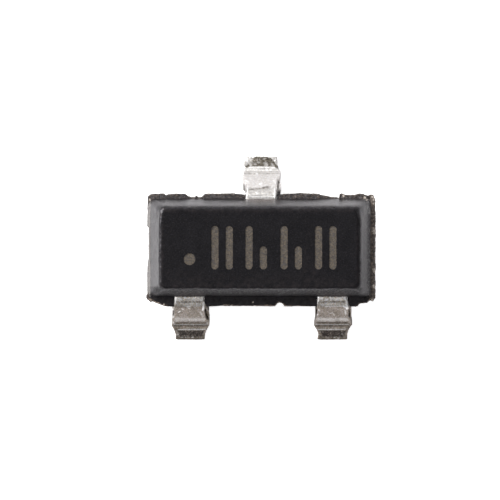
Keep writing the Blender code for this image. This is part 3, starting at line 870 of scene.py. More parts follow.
def half_section(wf, wn, stub, thick_top, thick_base):
    """One side of the strip's section, from its lower corner up to the start of the top face, as (x, h)."""
    plain_low, plain_high = thick_base + BASE_R, thick_top - TOP_R
    plain_high = max(plain_high, plain_low + 0.25 * (thick_top - thick_base))
    top_r = thick_top - plain_high
    chain = [(wf - BASE_R, thick_base), (wf - 0.3 * BASE_R, thick_base + 0.3 * BASE_R), (wf, plain_low)]
    walls = [plain_low + (plain_high - plain_low) * k / 6 for k in range(1, 7)]
    top_of_stub = thick_top - STUB_DROP
    shaped = [
        (wf, plain_low + 0.5 * (top_of_stub - 0.010 - plain_low)),
        (wf, top_of_stub - 0.010),
        (wf - 0.004, top_of_stub - 0.002),
        (max(wf - 0.014, wn + 0.010), top_of_stub),
        (wn + 0.003, top_of_stub - GROOVE),
        (wn, plain_high),
    ]
    for (sx, sh), h in zip(shaped, walls):
        chain.append((wf + stub * (sx - wf), h + stub * (sh - h)))
    edge = wf + stub * (wn - wf)
    for k in range(1, ARC_TOP + 1):
        f = math.radians(90.0 * k / ARC_TOP)
        chain.append((edge - top_r * (1 - math.cos(f)), plain_high + top_r * math.sin(f)))
    return chain


# Marks on the upper side of each lead, as capsules: from x, u to x, u, width, strength; x is from the lead's middle and
# u from the body. The first table lightens: painted highlights where bends and rolled edges catch the light, and
# burnished or smeared tin. The second darkens: painted shade in the bends and grooves, and flux and wear held in them,
# with a dent under it.
SHINE_AND_HIGHLIGHT = (
    (
        (-0.198, 0.003, -0.202, 0.083, 0.0173, 0.9), (0.161, -0.006, 0.158, 0.036, 0.0213, 1),
        (0.174, 0.08, 0.166, 0.176, 0.0199, 1), (-0.158, 0.019, -0.131, 0.027, 0.0199, 0.9),
        (0.1, 0.014, 0.137, 0.051, 0.0186, 0.85), (-0.181, 0.045, -0.146, 0.051, 0.0133, 0.5),
        (-0.086, 0.019, -0.006, 0.016, 0.0133, 0.35), (0.027, 0.024, 0.08, 0.038, 0.0133, 0.45),
        (-0.238, 0.156, -0.234, 0.266, 0.0319, 0.60), (-0.073, 0.123, 0.002, 0.131, 0.0146, 0.55),
        (-0.042, 0.141, -0.012, 0.155, 0.0133, 0.55), (-0.11, 0.161, -0.097, 0.168, 0.012, 0.6),
        (-0.162, 0.21, -0.142, 0.194, 0.012, 0.75), (0.02, 0.115, 0.127, 0.121, 0.012, 0.35),
        (-0.187, 0.302, 0.173, 0.303, 0.0452, 0.3), (0.133, 0.209, 0.166, 0.269, 0.0213, 0.3),
        (-0.214, 0.365, 0.206, 0.365, 0.0133, 0.5), (-0.166, 0.431, 0.193, 0.428, 0.012, 0.95),
        (-0.234, 0.333, -0.219, 0.367, 0.0186, 0.5), (0.217, 0.342, 0.228, 0.362, 0.0186, 0.4),
        (-0.123, 0.526, -0.105, 0.519, 0.0133, 0.45), (0.023, 0.522, 0.039, 0.508, 0.0146, 0.5),
        (-0.187, 0.495, -0.159, 0.49, 0.016, 0.35), (-0.068, 0.516, -0.062, 0.52, 0.0106, 0.9),
    ),
    (
        (-0.206, 0.003, -0.212, 0.083, 0.0186, 0.9), (0.157, -0.006, 0.163, 0.036, 0.0173, 0.9),
        (0.172, 0.023, 0.18, 0.075, 0.0239, 1), (0.173, 0.104, 0.189, 0.157, 0.0346, 1),
        (0.133, 0.123, 0.163, 0.141, 0.0239, 0.9), (-0.042, 0.008, -0.031, 0.056, 0.016, 0.9),
        (-0.183, 0.027, -0.146, 0.022, 0.0199, 0.7), (0.008, 0.03, 0.102, 0.019, 0.016, 0.45),
        (0.048, 0.048, 0.128, 0.032, 0.0133, 0.5), (-0.111, 0.131, -0.031, 0.123, 0.0133, 0.8),
        (-0.031, 0.125, 0.035, 0.132, 0.0133, 0.5), (0.054, 0.125, 0.128, 0.12, 0.0133, 0.75),
        (-0.05, 0.128, -0.042, 0.144, 0.0133, 0.6), (-0.199, 0.17, -0.186, 0.189, 0.016, 0.7),
        (-0.223, 0.253, -0.207, 0.234, 0.016, 0.8), (-0.047, 0.224, -0.01, 0.21, 0.012, 0.35),
        (-0.008, 0.216, 0.014, 0.248, 0.012, 0.35), (-0.198, 0.301, 0.175, 0.303, 0.0452, 0.38),
        (0.155, 0.176, 0.168, 0.229, 0.0186, 0.5), (-0.228, 0.363, 0.203, 0.365, 0.0133, 0.5),
        (-0.199, 0.431, 0.163, 0.428, 0.012, 0.9), (0.091, 0.508, 0.11, 0.5, 0.0213, 1),
        (0.016, 0.524, 0.04, 0.506, 0.016, 0.6), (-0.17, 0.458, -0.151, 0.463, 0.0133, 0.55),
        (0.123, 0.455, 0.117, 0.49, 0.012, 0.5), (0.067, 0.535, 0.08, 0.54, 0.0133, 0.6),
    ),
    (
        (-0.19, 0.113, -0.198, 0.014, 0.0160, 0.30), (0.18, 0.133, 0.177, 0.014, 0.0199, 0.8),
        (-0.026, 0.197, 0, 0.21, 0.0186, 0.7), (-0.206, 0.245, -0.184, 0.234, 0.0266, 0.6),
        (0.159, 0.246, 0.185, 0.213, 0.0266, 0.5), (-0.073, 0.083, -0.054, 0.072, 0.0133, 0.6),
        (-0.067, 0.341, -0.052, 0.341, 0.0213, 0.9), (-0.165, 0.029, 0.165, 0.029, 0.0150, 0.55),
    ),
)
GRIME_AND_SHADE = (
    (
        (-0.182, 0.072, 0.161, 0.069, 0.0173, 0.85), (0.185, 0.123, 0.214, 0.173, 0.016, 0.9),
        (0.193, 0.169, 0.214, 0.253, 0.0253, 1), (0.228, 0.189, 0.241, 0.256, 0.0186, 0.45),
        (-0.179, 0.17, -0.147, 0.184, 0.0133, 0.5), (-0.193, 0.109, -0.185, 0.196, 0.0213, 0.35),
        (0.033, 0.169, 0.133, 0.222, 0.0665, 0.22), (-0.1, 0.196, -0.033, 0.242, 0.0479, 0.18),
        (-0.193, 0.345, 0.212, 0.342, 0.0153, 0.8), (-0.209, 0.393, 0.22, 0.391, 0.0332, 0.62),
        (-0.06, 0.389, 0.113, 0.386, 0.0213, 0.35), (-0.222, 0.37, -0.214, 0.402, 0.016, 0.3),
        (-0.166, 0.543, -0.086, 0.547, 0.0146, 0.6), (-0.033, 0.544, 0.02, 0.544, 0.0146, 0.6),
        (0.073, 0.544, 0.173, 0.543, 0.0146, 0.6),
    ),
    (
        (-0.191, 0.072, 0.168, 0.069, 0.0199, 0.85), (-0.226, 0.152, -0.219, 0.232, 0.0173, 0.95),
        (0.203, 0.168, 0.219, 0.232, 0.0226, 1), (0.181, 0.24, 0.219, 0.28, 0.012, 0.75),
        (0.152, 0.25, 0.168, 0.266, 0.0106, 0.5), (0.187, 0.103, 0.216, 0.144, 0.0133, 0.8),
        (-0.098, 0.169, 0.088, 0.209, 0.0665, 0.22), (-0.184, 0.202, -0.125, 0.256, 0.0452, 0.2),
        (-0.218, 0.345, 0.189, 0.342, 0.0153, 0.8), (-0.223, 0.393, 0.205, 0.391, 0.0332, 0.62),
        (-0.111, 0.389, 0.115, 0.386, 0.0213, 0.3), (-0.236, 0.37, -0.228, 0.402, 0.016, 0.3),
        (-0.191, 0.543, -0.098, 0.547, 0.0146, 0.55), (-0.045, 0.544, 0.008, 0.544, 0.0146, 0.6),
        (0.102, 0.544, 0.181, 0.543, 0.0146, 0.6),
    ),
    (
        (-0.158, 0.127, -0.073, 0.137, 0.024, 0.9), (-0.073, 0.137, 0.014, 0.144, 0.022, 0.85),
        (0.014, 0.147, 0.095, 0.168, 0.026, 0.95), (0.034, 0.149, 0.113, 0.158, 0.028, 0.8),
        (-0.166, 0.147, -0.139, 0.152, 0.0173, 0.5), (-0.146, 0.095, 0.113, 0.107, 0.0133, 0.3), (-0.160, 0.084, 0.163, 0.087, 0.026, 0.30),
        (-0.166, 0.045, 0.167, 0.051, 0.0133, 0.28), (-0.159, 0.002, 0.16, 0.004, 0.010, 0.30),
        (0.153, 0.045, 0.175, 0.038, 0.016, 0.6), (-0.224, 0.339, -0.121, 0.339, 0.016, 0.52),
        (-0.121, 0.338, 0.246, 0.342, 0.0146, 0.34), (-0.198, 0.357, -0.153, 0.351, 0.0133, 0.3),
        (0.217, 0.25, 0.209, 0.192, 0.0293, 1), (0.209, 0.192, 0.228, 0.125, 0.0293, 0.95),
        (0.225, 0.139, 0.249, 0.112, 0.0133, 0.6), (-0.238, 0.184, -0.224, 0.115, 0.0226, 0.85),
        (-0.04, 0.362, -0.02, 0.357, 0.012, 0.25), (0.058, 0.329, 0.065, 0.326, 0.012, 0.5),
        (-0.206, 0.166, -0.198, 0.2, 0.0133, 0.4),
    ),
)


def capsule(x, u, mark, rough):
    x0, u0, x1, u1, width, strength = mark
    dx, du = x1 - x0, u1 - u0
    size = dx * dx + du * du
    t = 0.0 if size == 0 else min(max(((x - x0) * dx + (u - u0) * du) / size, 0.0), 1.0)
    gap = math.hypot(x - x0 - t * dx, u - u0 - t * du) / (0.5 * width)
    return strength * (1 - ramp(gap + rough, 0.55, 1.25))


def toe_cut(number, u, x):
    """How far the top has fallen at this distance, with the rolled edge before the shear and the lip after it."""
    start = TOE_FROM[number - 1] - (0.007 if number != 3 else 0.0)
    rolled = 0.022
    t = (u - (start - rolled)) / rolled
    if t <= 0:
        return 0.0
    if t < 1:
        return 0.010 * t**2.2
    end = LEAD_SPAN / 2 - BODY_HALF_Y
    fall = min((u - start) / TOE_FALL, 1.0)
    tail = max(0.0, (u - start - TOE_FALL) / (end - start - TOE_FALL))
    return 0.010 + fall * (LEAD_THICK - TOE_STEP - 0.010) + tail * (TOE_STEP - TOE_LEFT)


def bare_mask(number, u, x):
    """Where the shear bared the copper: a trapezoid or a dome behind the rolled edge, rough at its rim."""
    xr = x - LEAD_X[number - 1]
    wobble = grain(x, u, 0.0, 0.028, 3, 101.0 + number)
    spots = grain(x, u, 5.0, 0.030, 3, 131.0 + number)
    if number == 3:
        e = math.hypot((xr - 0.003) / 0.210, (u - 0.4258) / 0.136)
        inside = ramp(1 - e + 0.06 * wobble, -0.01, 0.07) * ramp(u + 0.004 * wobble, 0.432, 0.441)
        # darkest towards the upper right and at the two ends, lighter and mottled at the lower left
        tone = 0.80 + 0.75 * spots + 1.2 * (xr + 0.02) + 2.2 * (u - 0.490)
        tone -= 0.60 * ramp(-xr, 0.120, 0.150) + 0.45 * ramp(xr, 0.130, 0.150)
        tails = max(capsule(xr, u, (-0.200, 0.436, -0.172, 0.446, 0.040, 1.0), 0.5 * wobble), capsule(xr, u, (0.152, 0.488, 0.204, 0.430, 0.038, 1.0), 0.5 * wobble))
        hole = 1 - ramp(math.hypot(xr - 0.058, (u - 0.459) * 0.8), 0.014, 0.034)
        blot = 0.20 * ramp(spots, 0.10, 0.40) * ramp(u, 0.445, 0.460)
        return max(inside * (0.36 + 0.64 * ramp(tone, 0.05, 0.90)) * (1 - 0.50 * hole), blot, tails)
    left, right = 0.186 - 0.55 * (u - 0.444), 0.193 - 0.65 * (u - 0.444)
    inside = ramp(min(xr + left, right - xr) + 0.011 * wobble, -0.003, 0.006)
    inside *= ramp(u + 0.0015 * wobble, 0.4475, 0.4530) * (1 - ramp(u + 0.012 * wobble, 0.519, 0.532))
    if number == 2:
        inside *= 1 - 0.55 * ramp(xr, 0.115, 0.150) * ramp(0.5 + spots, 0.2, 0.6)
    return inside * (1 - 0.7 * ramp(spots, 0.42, 0.60))


def lead_section_points(number, s):
    """Points of one ring with the place of each in the lead's own terms (distance u, x, kind 0 base, 1 side, 2 top)."""
    u, z, slope = FOLD.at(s)
    side = 1.0 if number == 3 else -1.0
    mid = LEAD_X[number - 1]
    end = LEAD_SPAN / 2 - BODY_HALF_Y
    table = width_table(number)
    left, right = along(table, u)
    stub_l = stub_r = 0.0
    neck_l, neck_r = left, right
    if 0 < u < 0.30:
        neck_l, neck_r, stub_l, stub_r = along(STUBS[number - 1], u)
        neck_l, neck_r = min(neck_l, left), min(neck_r, right)
    # rounded corners in plan at the toe and at the inner end
    near_end = max(0.0, u - (end - 0.016))
    tuck = 0.016 - math.sqrt(max(0.0, 0.016**2 - near_end**2)) if near_end > 0 else 0.0
    left, right = left - tuck, right - tuck
    neck_l, neck_r = min(neck_l, left), min(neck_r, right)
    top, base = LEAD_THICK / 2, -LEAD_THICK / 2
    cut = toe_cut(number, u, 0.0)
    top -= cut
    l_chain = half_section(left, neck_l, stub_l, top, base)
    r_chain = half_section(right, neck_r, stub_r, top, base)
    flat = []
    for k in range(1, ACROSS_BASE):
        t = k / ACROSS_BASE
        flat.append((-l_chain[0][0] + t * (l_chain[0][0] + r_chain[0][0]), base, 0))
    ring = [(-l_chain[0][0], base, 0)] + flat
    ring += [(x, h, 1) for x, h in r_chain]
    ring[-1] = (ring[-1][0], ring[-1][1], 2)
    xl, xr = -l_chain[-1][0], r_chain[-1][0]
    for k in range(1, ACROSS_TOP):
        t = k / ACROSS_TOP
        ring.append((xr + t * (xl - xr), top, 2))
    ring += [(-x, h, 1) for x, h in l_chain[:0:-1]]
    placed, terms = [], []
    for x, h, kind in ring:
        y = u + h * math.sin(slope)
        placed.append((mid + x, side * (BODY_HALF_Y + y), z + h * math.cos(slope)))
        terms.append((y, mid + x, kind, h, slope, u))
    return placed, terms


def make_lead(number):
    stops = [FOLD.length_at(d) for d, _, _ in inner_table(number)]
    s, stop = stops[0], FOLD.length
    kept = []
    # rings inside the body follow the stamped outline; from just inside the exit they are evenly fine
    for a, b in zip(stops, stops[1:]):
        steps = max(1, round((b - a) / 0.035))
        kept += [a + (b - a) * i / steps for i in range(steps)]
    s = kept[-1] + 0.020
    while s < stop - 0.0035:
        kept.append(s)
        u = FOLD.at(s)[0]
        s += 0.0050 if u > 0.40 else 0.0065 if u > 0.0 else 0.012
    kept.append(stop)
    rings, terms = [], []
    for s in kept:
        placed, term = lead_section_points(number, s)
        rings.append(placed)
        terms += term
    made = loft(f"lead_{number}_formed", rings)
    data = made.data
    count = len(data.vertices)
    co = np.zeros(count * 3, np.float32)
    no = np.zeros(count * 3, np.float32)
    data.vertices.foreach_get("co", co)
    data.vertices.foreach_get("normal", no)
    co, no = co.reshape(-1, 3) / MM, no.reshape(-1, 3)
    bare, grime_and_shade, leg, shine_and_highlight = (np.zeros(count) for _ in range(4))
    push = np.zeros(count)
    k = number - 1
    seed = 120.0 + 17.0 * number
    for i, (u, x, kind, h, slope, uc) in enumerate(terms):
        px, py, pz = (float(c) for c in co[i])
        if uc < -0.05:
            continue
        out = ramp(uc, 0.0, 0.02)
        xr = px - LEAD_X[k]
        # tin grain and the tool's drag marks
        amount = 0.0010 * grain(px, py, pz, 0.024, 3, seed) + 0.0016 * grain(px, py, pz, 0.11, 2, seed + 3)
        lit = ramp(float(no[i][2]), 0.10, 0.35) if kind else 0.0
        if lit and u > -0.02:
            rough = 0.55 * grain(px, py, 0.0, 0.020, 2, seed + 31)
            dark = light = 0.0
            away = u if number == 3 else u - 0.007 * ramp(u, 0.310, 0.340)
            # the darker marks: painted shade in bends and grooves, and flux held there
            for mark in GRIME_AND_SHADE[k]:
                if min(mark[0], mark[2]) - 0.05 < xr < max(mark[0], mark[2]) + 0.05 and min(mark[1], mark[3]) - 0.05 < away < max(mark[1], mark[3]) + 0.05:
                    dark = max(dark, capsule(xr, away, mark, rough))
            # the lighter marks: painted highlights, and burnished tin
            for mark in SHINE_AND_HIGHLIGHT[k]:
                if min(mark[0], mark[2]) - 0.05 < xr < max(mark[0], mark[2]) + 0.05 and min(mark[1], mark[3]) - 0.05 < away < max(mark[1], mark[3]) + 0.05:
                    light = max(light, capsule(xr, away, mark, -rough))
            amount += lit * (0.0012 * light - 0.0032 * dark)
            patch = grain(px, py, 0.0, 0.045, 2, seed + 33)
            grime_and_shade[i] = lit * dark * (0.85 + 0.5 * patch)
            shine_and_highlight[i] = lit * light * (0.95 + 0.5 * patch)
            if number != 3 and kind == 2:
                ridge = bump_at(u, 0.122 + 0.006 * grain(px, 0, 1, 0.08, 2, seed), 0.012)
                amount += 0.0022 * ridge * (0.5 + grain(px, py, 2, 0.05, 2, seed + 5))
        if (kind == 2 or h > -0.02) and u > 0.40:
            bare[i] = bare_mask(number, u, px)
            # torn copper, and the burr along the tip
            amount += 0.0042 * bare[i] * grain(px, py, pz, 0.022, 3, seed + 15)
            tip = ramp(u, 0.520, 0.540) * (1.0 if kind == 2 else 0.3)
            amount += tip * (0.0040 * grain(px, py, 0.0, 0.024, 2, seed + 19) + 0.0012)
        # the zone the material darkens: on leads 1 and 2 the leg, as painted shade; on lead 3 the shoulder and a little
        # of the foot
        if number == 3:
            leg[i] = max(1 - ramp(u + 0.02 * grain(px, py, 0, 0.05, 2, seed + 35), 0.115, 0.160), 0.46 * ramp(u, 0.365, 0.385))
        else:
            leg[i] = ramp(u, 0.100, 0.140) * (1 - 0.10 * bump_at(u, 0.300, 0.075))
        if kind == 1:
            amount += 0.0016 * grain(px, py, pz * 2.5, 0.028, 2, seed + 23)
            amount *= 0.35 + 0.65 * ramp(uc, 0.075, 0.130)
        if kind == 0 and uc > 0.35:
            amount = min(amount, 0.0) * 0.4  # the foot's underside stays on the seating plane
        push[i] = amount * out
    co = co + no * push[:, None]
    # the torn tips stand a little further out than the nominal length
    side = 1.0 if number == 3 else -1.0
    for i, term in enumerate(terms):
        if term[5] > 0.44:
            co[i][1] += side * 0.0150 * ramp(term[5], 0.44, LEAD_SPAN / 2 - BODY_HALF_Y)
    co[:, 2] = np.maximum(co[:, 2], 0.0)
    limit = LEAD_SPAN / 2
    co[:, 1] = np.clip(co[:, 1], -limit - 0.019, limit + 0.019)
    data.vertices.foreach_set("co", (co * MM).astype(np.float32).ravel())
    data.update()
    for name, values in (("bare", bare), ("grime_and_shade", grime_and_shade), ("leg", leg), ("shine_and_highlight", shine_and_highlight)):
        point_values(made, name, np.clip(values, 0, 1))
    smooth(made, 50.0)
    return made


# ================================================================ the pieces inside the body
def make_wire(number):
    made = loft(f"bond_wire_{number}_drawn", wire_rings(number, 0.0, 20, 27))
    smooth(made, 50.0)
    return made


def round_rectangle(half_x, half_y, radius, per_side=36, per_corner=6):
    """Points round a rectangle about the die's middle, anticlockwise from +X."""
    x0, y0 = DIE_AT
    points = []
    for quarter in range(4):
        for i in range(per_corner + 1):
            f = math.radians(90.0 * (quarter + i / per_corner))
            sx, sy = SIGNS[quarter]
            points.append((x0 + sx * (half_x - radius) + radius * math.cos(f), y0 + sy * (half_y - radius) + radius * math.sin(f)))
        f = math.radians(90.0 * (quarter + 1))
        nx, ny = SIGNS[(quarter + 1) % 4]
        ax, ay = points[-1]
        bx, by = x0 + nx * (half_x - radius) + radius * math.cos(f), y0 + ny * (half_y - radius) + radius * math.sin(f)
        points += [(ax + (bx - ax) * i / per_side, ay + (by - ay) * i / per_side) for i in range(1, per_side)]
    return points


def make_glue():
    """The cured adhesive, whose fillet hollows in and runs out unevenly over the paddle."""
    rings = []
    levels = 12
    for k in range(levels + 1):
        t = k / levels
        ring = []
        spread = GLUE_FILLET * (1 - t) ** 1.9
        for x, y in round_rectangle(DIE_X / 2 - 0.0006, DIE_Y / 2 - 0.0006, 0.012):
            dx, dy = x - DIE_AT[0], y - DIE_AT[1]
            over_x, over_y = max(0.0, abs(dx) - DIE_X / 2 + 0.012), max(0.0, abs(dy) - DIE_Y / 2 + 0.012)
            size = math.hypot(over_x, over_y) or 1.0
            out = spread * (0.80 + 0.18 * grain(x, y, 0.0, 0.070, 3, 201.0))
            ring.append((x + math.copysign(over_x / size * out, dx), y + math.copysign(over_y / size * out, dy), GLUE_LOW + t * GLUE_THICK))
        rings.append(ring)
    made = loft("die_attach_cured", rings)
    smooth(made, 50.0)
    return made


PAD = 0.043  # half width of a bond pad
PADS = tuple(start for start, _ in WIRES) + ((-0.055, 0.268), (-0.185, 0.268))


def circuit(x, y):
    """(how far below the die's highest level, how much metal shows) at a place on the circuit side."""
    px, py = x - DIE_AT[0], y - DIE_AT[1]
    edge = min(DIE_X / 2 - abs(px), DIE_Y / 2 - abs(py))
    if edge < 0.011:
        return 0.0048, 0.0  # the sawn street
    if edge < 0.015:
        return 0.0024, 0.0
    if edge < 0.023:
        return 0.0002, 0.55  # the seal ring
    for i, (cx, cy) in enumerate(PADS):
        half = PAD if i < 3 else 0.030
        reach = max(abs(x - cx), abs(y - cy), 0.78 * (abs(x - cx) + abs(y - cy)))
        if reach < half - 0.006:
            return 0.0020, 1.0
        if reach < half:
            return 0.0004, 0.25
        if reach < half + 0.008:
            return 0.0022, 0.0
    # blocks of plain stripes: power fingers, resistor bank, logic rows
    for x0, y0, x1, y1, pitch, upright in (
        (-0.190, -0.095, -0.010, 0.060, 0.022, True), (0.015, -0.095, 0.190, 0.010, 0.016, False),
        (-0.310, -0.040, -0.215, 0.225, 0.018, False), (-0.175, 0.085, 0.035, 0.215, 0.016, False),
        (0.170, 0.040, 0.310, 0.290, 0.024, True), (0.070, 0.035, 0.150, 0.150, 0.012, True),
    ):
        if x0 < x < x1 and y0 < y < y1:
            across = (x - x0 if upright else y - y0) / pitch
            line = across - math.floor(across)
            return (0.0010, 0.35) if line < 0.55 else (0.0020, 0.05)
    return 0.0024, 0.0


def make_die():
    """Sawn silicon with its seal ring, bond pads and plain blocks of circuit as relief."""
    nx, ny = 174, 130
    x0, y0 = DIE_AT
    xs = [x0 + DIE_X * (i / nx - 0.5) for i in range(nx + 1)]
    ys = [y0 + DIE_Y * (j / ny - 0.5) for j in range(ny + 1)]
    points, metal = [], []
    for y in ys:
        for x in xs:
            deep, share = circuit(x, y)
            points.append((x, y, DIE_HIGH - deep))
            metal.append(share)
    row = nx + 1
    faces = [(j * row + i, j * row + i + 1, (j + 1) * row + i + 1, (j + 1) * row + i) for j in range(ny) for i in range(nx)]
    ring = list(range(row)) + [j * row + nx for j in range(1, ny + 1)]
    ring += [ny * row + i for i in range(nx - 1, -1, -1)] + [j * row for j in range(ny - 1, 0, -1)]
    above = ring
    for k in range(1, 15):
        t = k / 14
        below = []
        for i in ring:
            x, y, z = points[i]
            # chipped by the saw near the edges, and stepped where the two cuts meet
            inwards = 0.0006 + 0.0012 * (t > 0.45) + 0.0016 * max(0.0, grain(x, y, t * 0.2, 0.020, 2, 221.0)) * (1.0 if k in (1, 13, 14) else 0.35)
            sx = (1 if x > x0 else -1) if abs(abs(x - x0) - DIE_X / 2) < 1e-6 else 0
            sy = (1 if y > y0 else -1) if abs(abs(y - y0) - DIE_Y / 2) < 1e-6 else 0
            below.append(len(points))
            points.append((x - sx * inwards, y - sy * inwards, z + t * (DIE_LOW - z)))
            metal.append(0.0)
        count = len(ring)
        faces += [(above[(i + 1) % count], above[i], below[i], below[(i + 1) % count]) for i in range(count)]
        above = below
    faces.append(tuple(above[::-1]))
    made = outward(mesh_from("silicon_die_sawn", points, faces))
    point_values(made, "metal", metal)
    smooth(made, 24.0)
    return made


# ================================================================ materials
class Nodes:
    """A few words for writing a node tree."""

    def __init__(self, name):
        self.material = bpy.data.materials.new(name)
        self.material.use_nodes = True
        self.tree = self.material.node_tree
        self.shader = self.tree.nodes["Principled BSDF"]
        self.place = self.tree.nodes.new("ShaderNodeTexCoord")
        scale = self.tree.nodes.new("ShaderNodeMapping")
        scale.inputs["Scale"].default_value = (1000.0, 1000.0, 1000.0)  # millimetres
        self.join(self.place.outputs["Object"], scale.inputs["Vector"])
        self.mm = scale.outputs["Vector"]

    def join(self, a, b):
        self.tree.links.new(a, b)

    def put(self, value, socket):
        if isinstance(value, (int, float)):
            socket.default_value = value
        elif isinstance(value, tuple):
            socket.default_value = (*value, 1.0)[: len(socket.default_value)]
        else:
            self.join(value, socket)

    def noise(self, size, detail=3.0, rough=0.55, distort=0.0, stretch=None, seed=0.0):
        n = self.tree.nodes.new("ShaderNodeTexNoise")
        n.inputs["Scale"].default_value = 1.0 / size
        n.inputs["Detail"].default_value = detail
        n.inputs["Roughness"].default_value = rough
        n.inputs["Distortion"].default_value = distort
        source = self.mm
        if stretch or seed:
            m = self.tree.nodes.new("ShaderNodeMapping")
            m.inputs["Scale"].default_value = stretch or (1, 1, 1)
            m.inputs["Location"].default_value = (seed, seed * 0.7, -seed)
            self.join(self.mm, m.inputs["Vector"])
            source = m.outputs["Vector"]
        self.join(source, n.inputs["Vector"])
        return n.outputs["Fac"]

    def cells(self, size, feature="F1", seed=0.0):
        n = self.tree.nodes.new("ShaderNodeTexVoronoi")
        n.feature = feature
        n.inputs["Scale"].default_value = 1.0 / size
        if seed:
            m = self.tree.nodes.new("ShaderNodeMapping")
            m.inputs["Location"].default_value = (seed, -seed, seed * 0.3)
            self.join(self.mm, m.inputs["Vector"])
            self.join(m.outputs["Vector"], n.inputs["Vector"])
        else:
            self.join(self.mm, n.inputs["Vector"])
        return n.outputs["Distance"]

    def steps(self, value, *stops):
        """A colour ramp: (place, colour or grey) pairs."""
        n = self.tree.nodes.new("ShaderNodeValToRGB")
        elements = n.color_ramp.elements
        while len(elements) < len(stops):
            elements.new(0.5)
        for e, (at, colour) in zip(elements, stops):
            e.position = at
            e.color = (*colour, 1.0) if isinstance(colour, tuple) else (colour, colour, colour, 1.0)
        self.join(value, n.inputs["Fac"])
        return n.outputs["Color"]

    def mix(self, share, a, b):
        n = self.tree.nodes.new("ShaderNodeMix")
        n.data_type = "RGBA"
        self.put(share, n.inputs[0])
        self.put(a, n.inputs[6])
        self.put(b, n.inputs[7])
        return n.outputs[2]

    def times(self, share, a, b):
        out = self.mix(share, a, b)
        out.node.blend_type = "MULTIPLY"
        return out

    def math(self, operation, a, b=0.0, clamp=False):
        n = self.tree.nodes.new("ShaderNodeMath")
        n.operation = operation
        n.use_clamp = clamp
        self.put(a, n.inputs[0])
        self.put(b, n.inputs[1])
        return n.outputs[0]

    def span(self, value, low, high, to_low=0.0, to_high=1.0, smoothly=True):
        n = self.tree.nodes.new("ShaderNodeMapRange")
        n.interpolation_type = "SMOOTHSTEP" if smoothly else "LINEAR"
        self.put(value, n.inputs["Value"])
        for key, v in (("From Min", low), ("From Max", high), ("To Min", to_low), ("To Max", to_high)):
            n.inputs[key].default_value = v
        return n.outputs["Result"]

    def axes(self):
        n = self.tree.nodes.new("ShaderNodeSeparateXYZ")
        self.join(self.mm, n.inputs[0])
        return n.outputs

    def up(self):
        """How far the surface faces up, from the mesh's own normal."""
        n = self.tree.nodes.new("ShaderNodeSeparateXYZ")
        self.join(self.place.outputs["Normal"], n.inputs[0])
        return n.outputs[2]

    def read(self, name):
        n = self.tree.nodes.new("ShaderNodeAttribute")
        n.attribute_name = name
        return n.outputs["Fac"]

    def bump(self, height, deep, onto=None, strength=1.0):
        """deep in millimetres."""
        n = self.tree.nodes.new("ShaderNodeBump")
        n.inputs["Strength"].default_value = strength
        n.inputs["Distance"].default_value = deep * MM
        self.join(height, n.inputs["Height"])
        if onto is not None:
            self.join(onto, n.inputs["Normal"])
        return n.outputs["Normal"]

    def set(self, **values):
        for key, value in values.items():
            self.put(value, self.shader.inputs[key.replace("_", " ")])
        return self.material


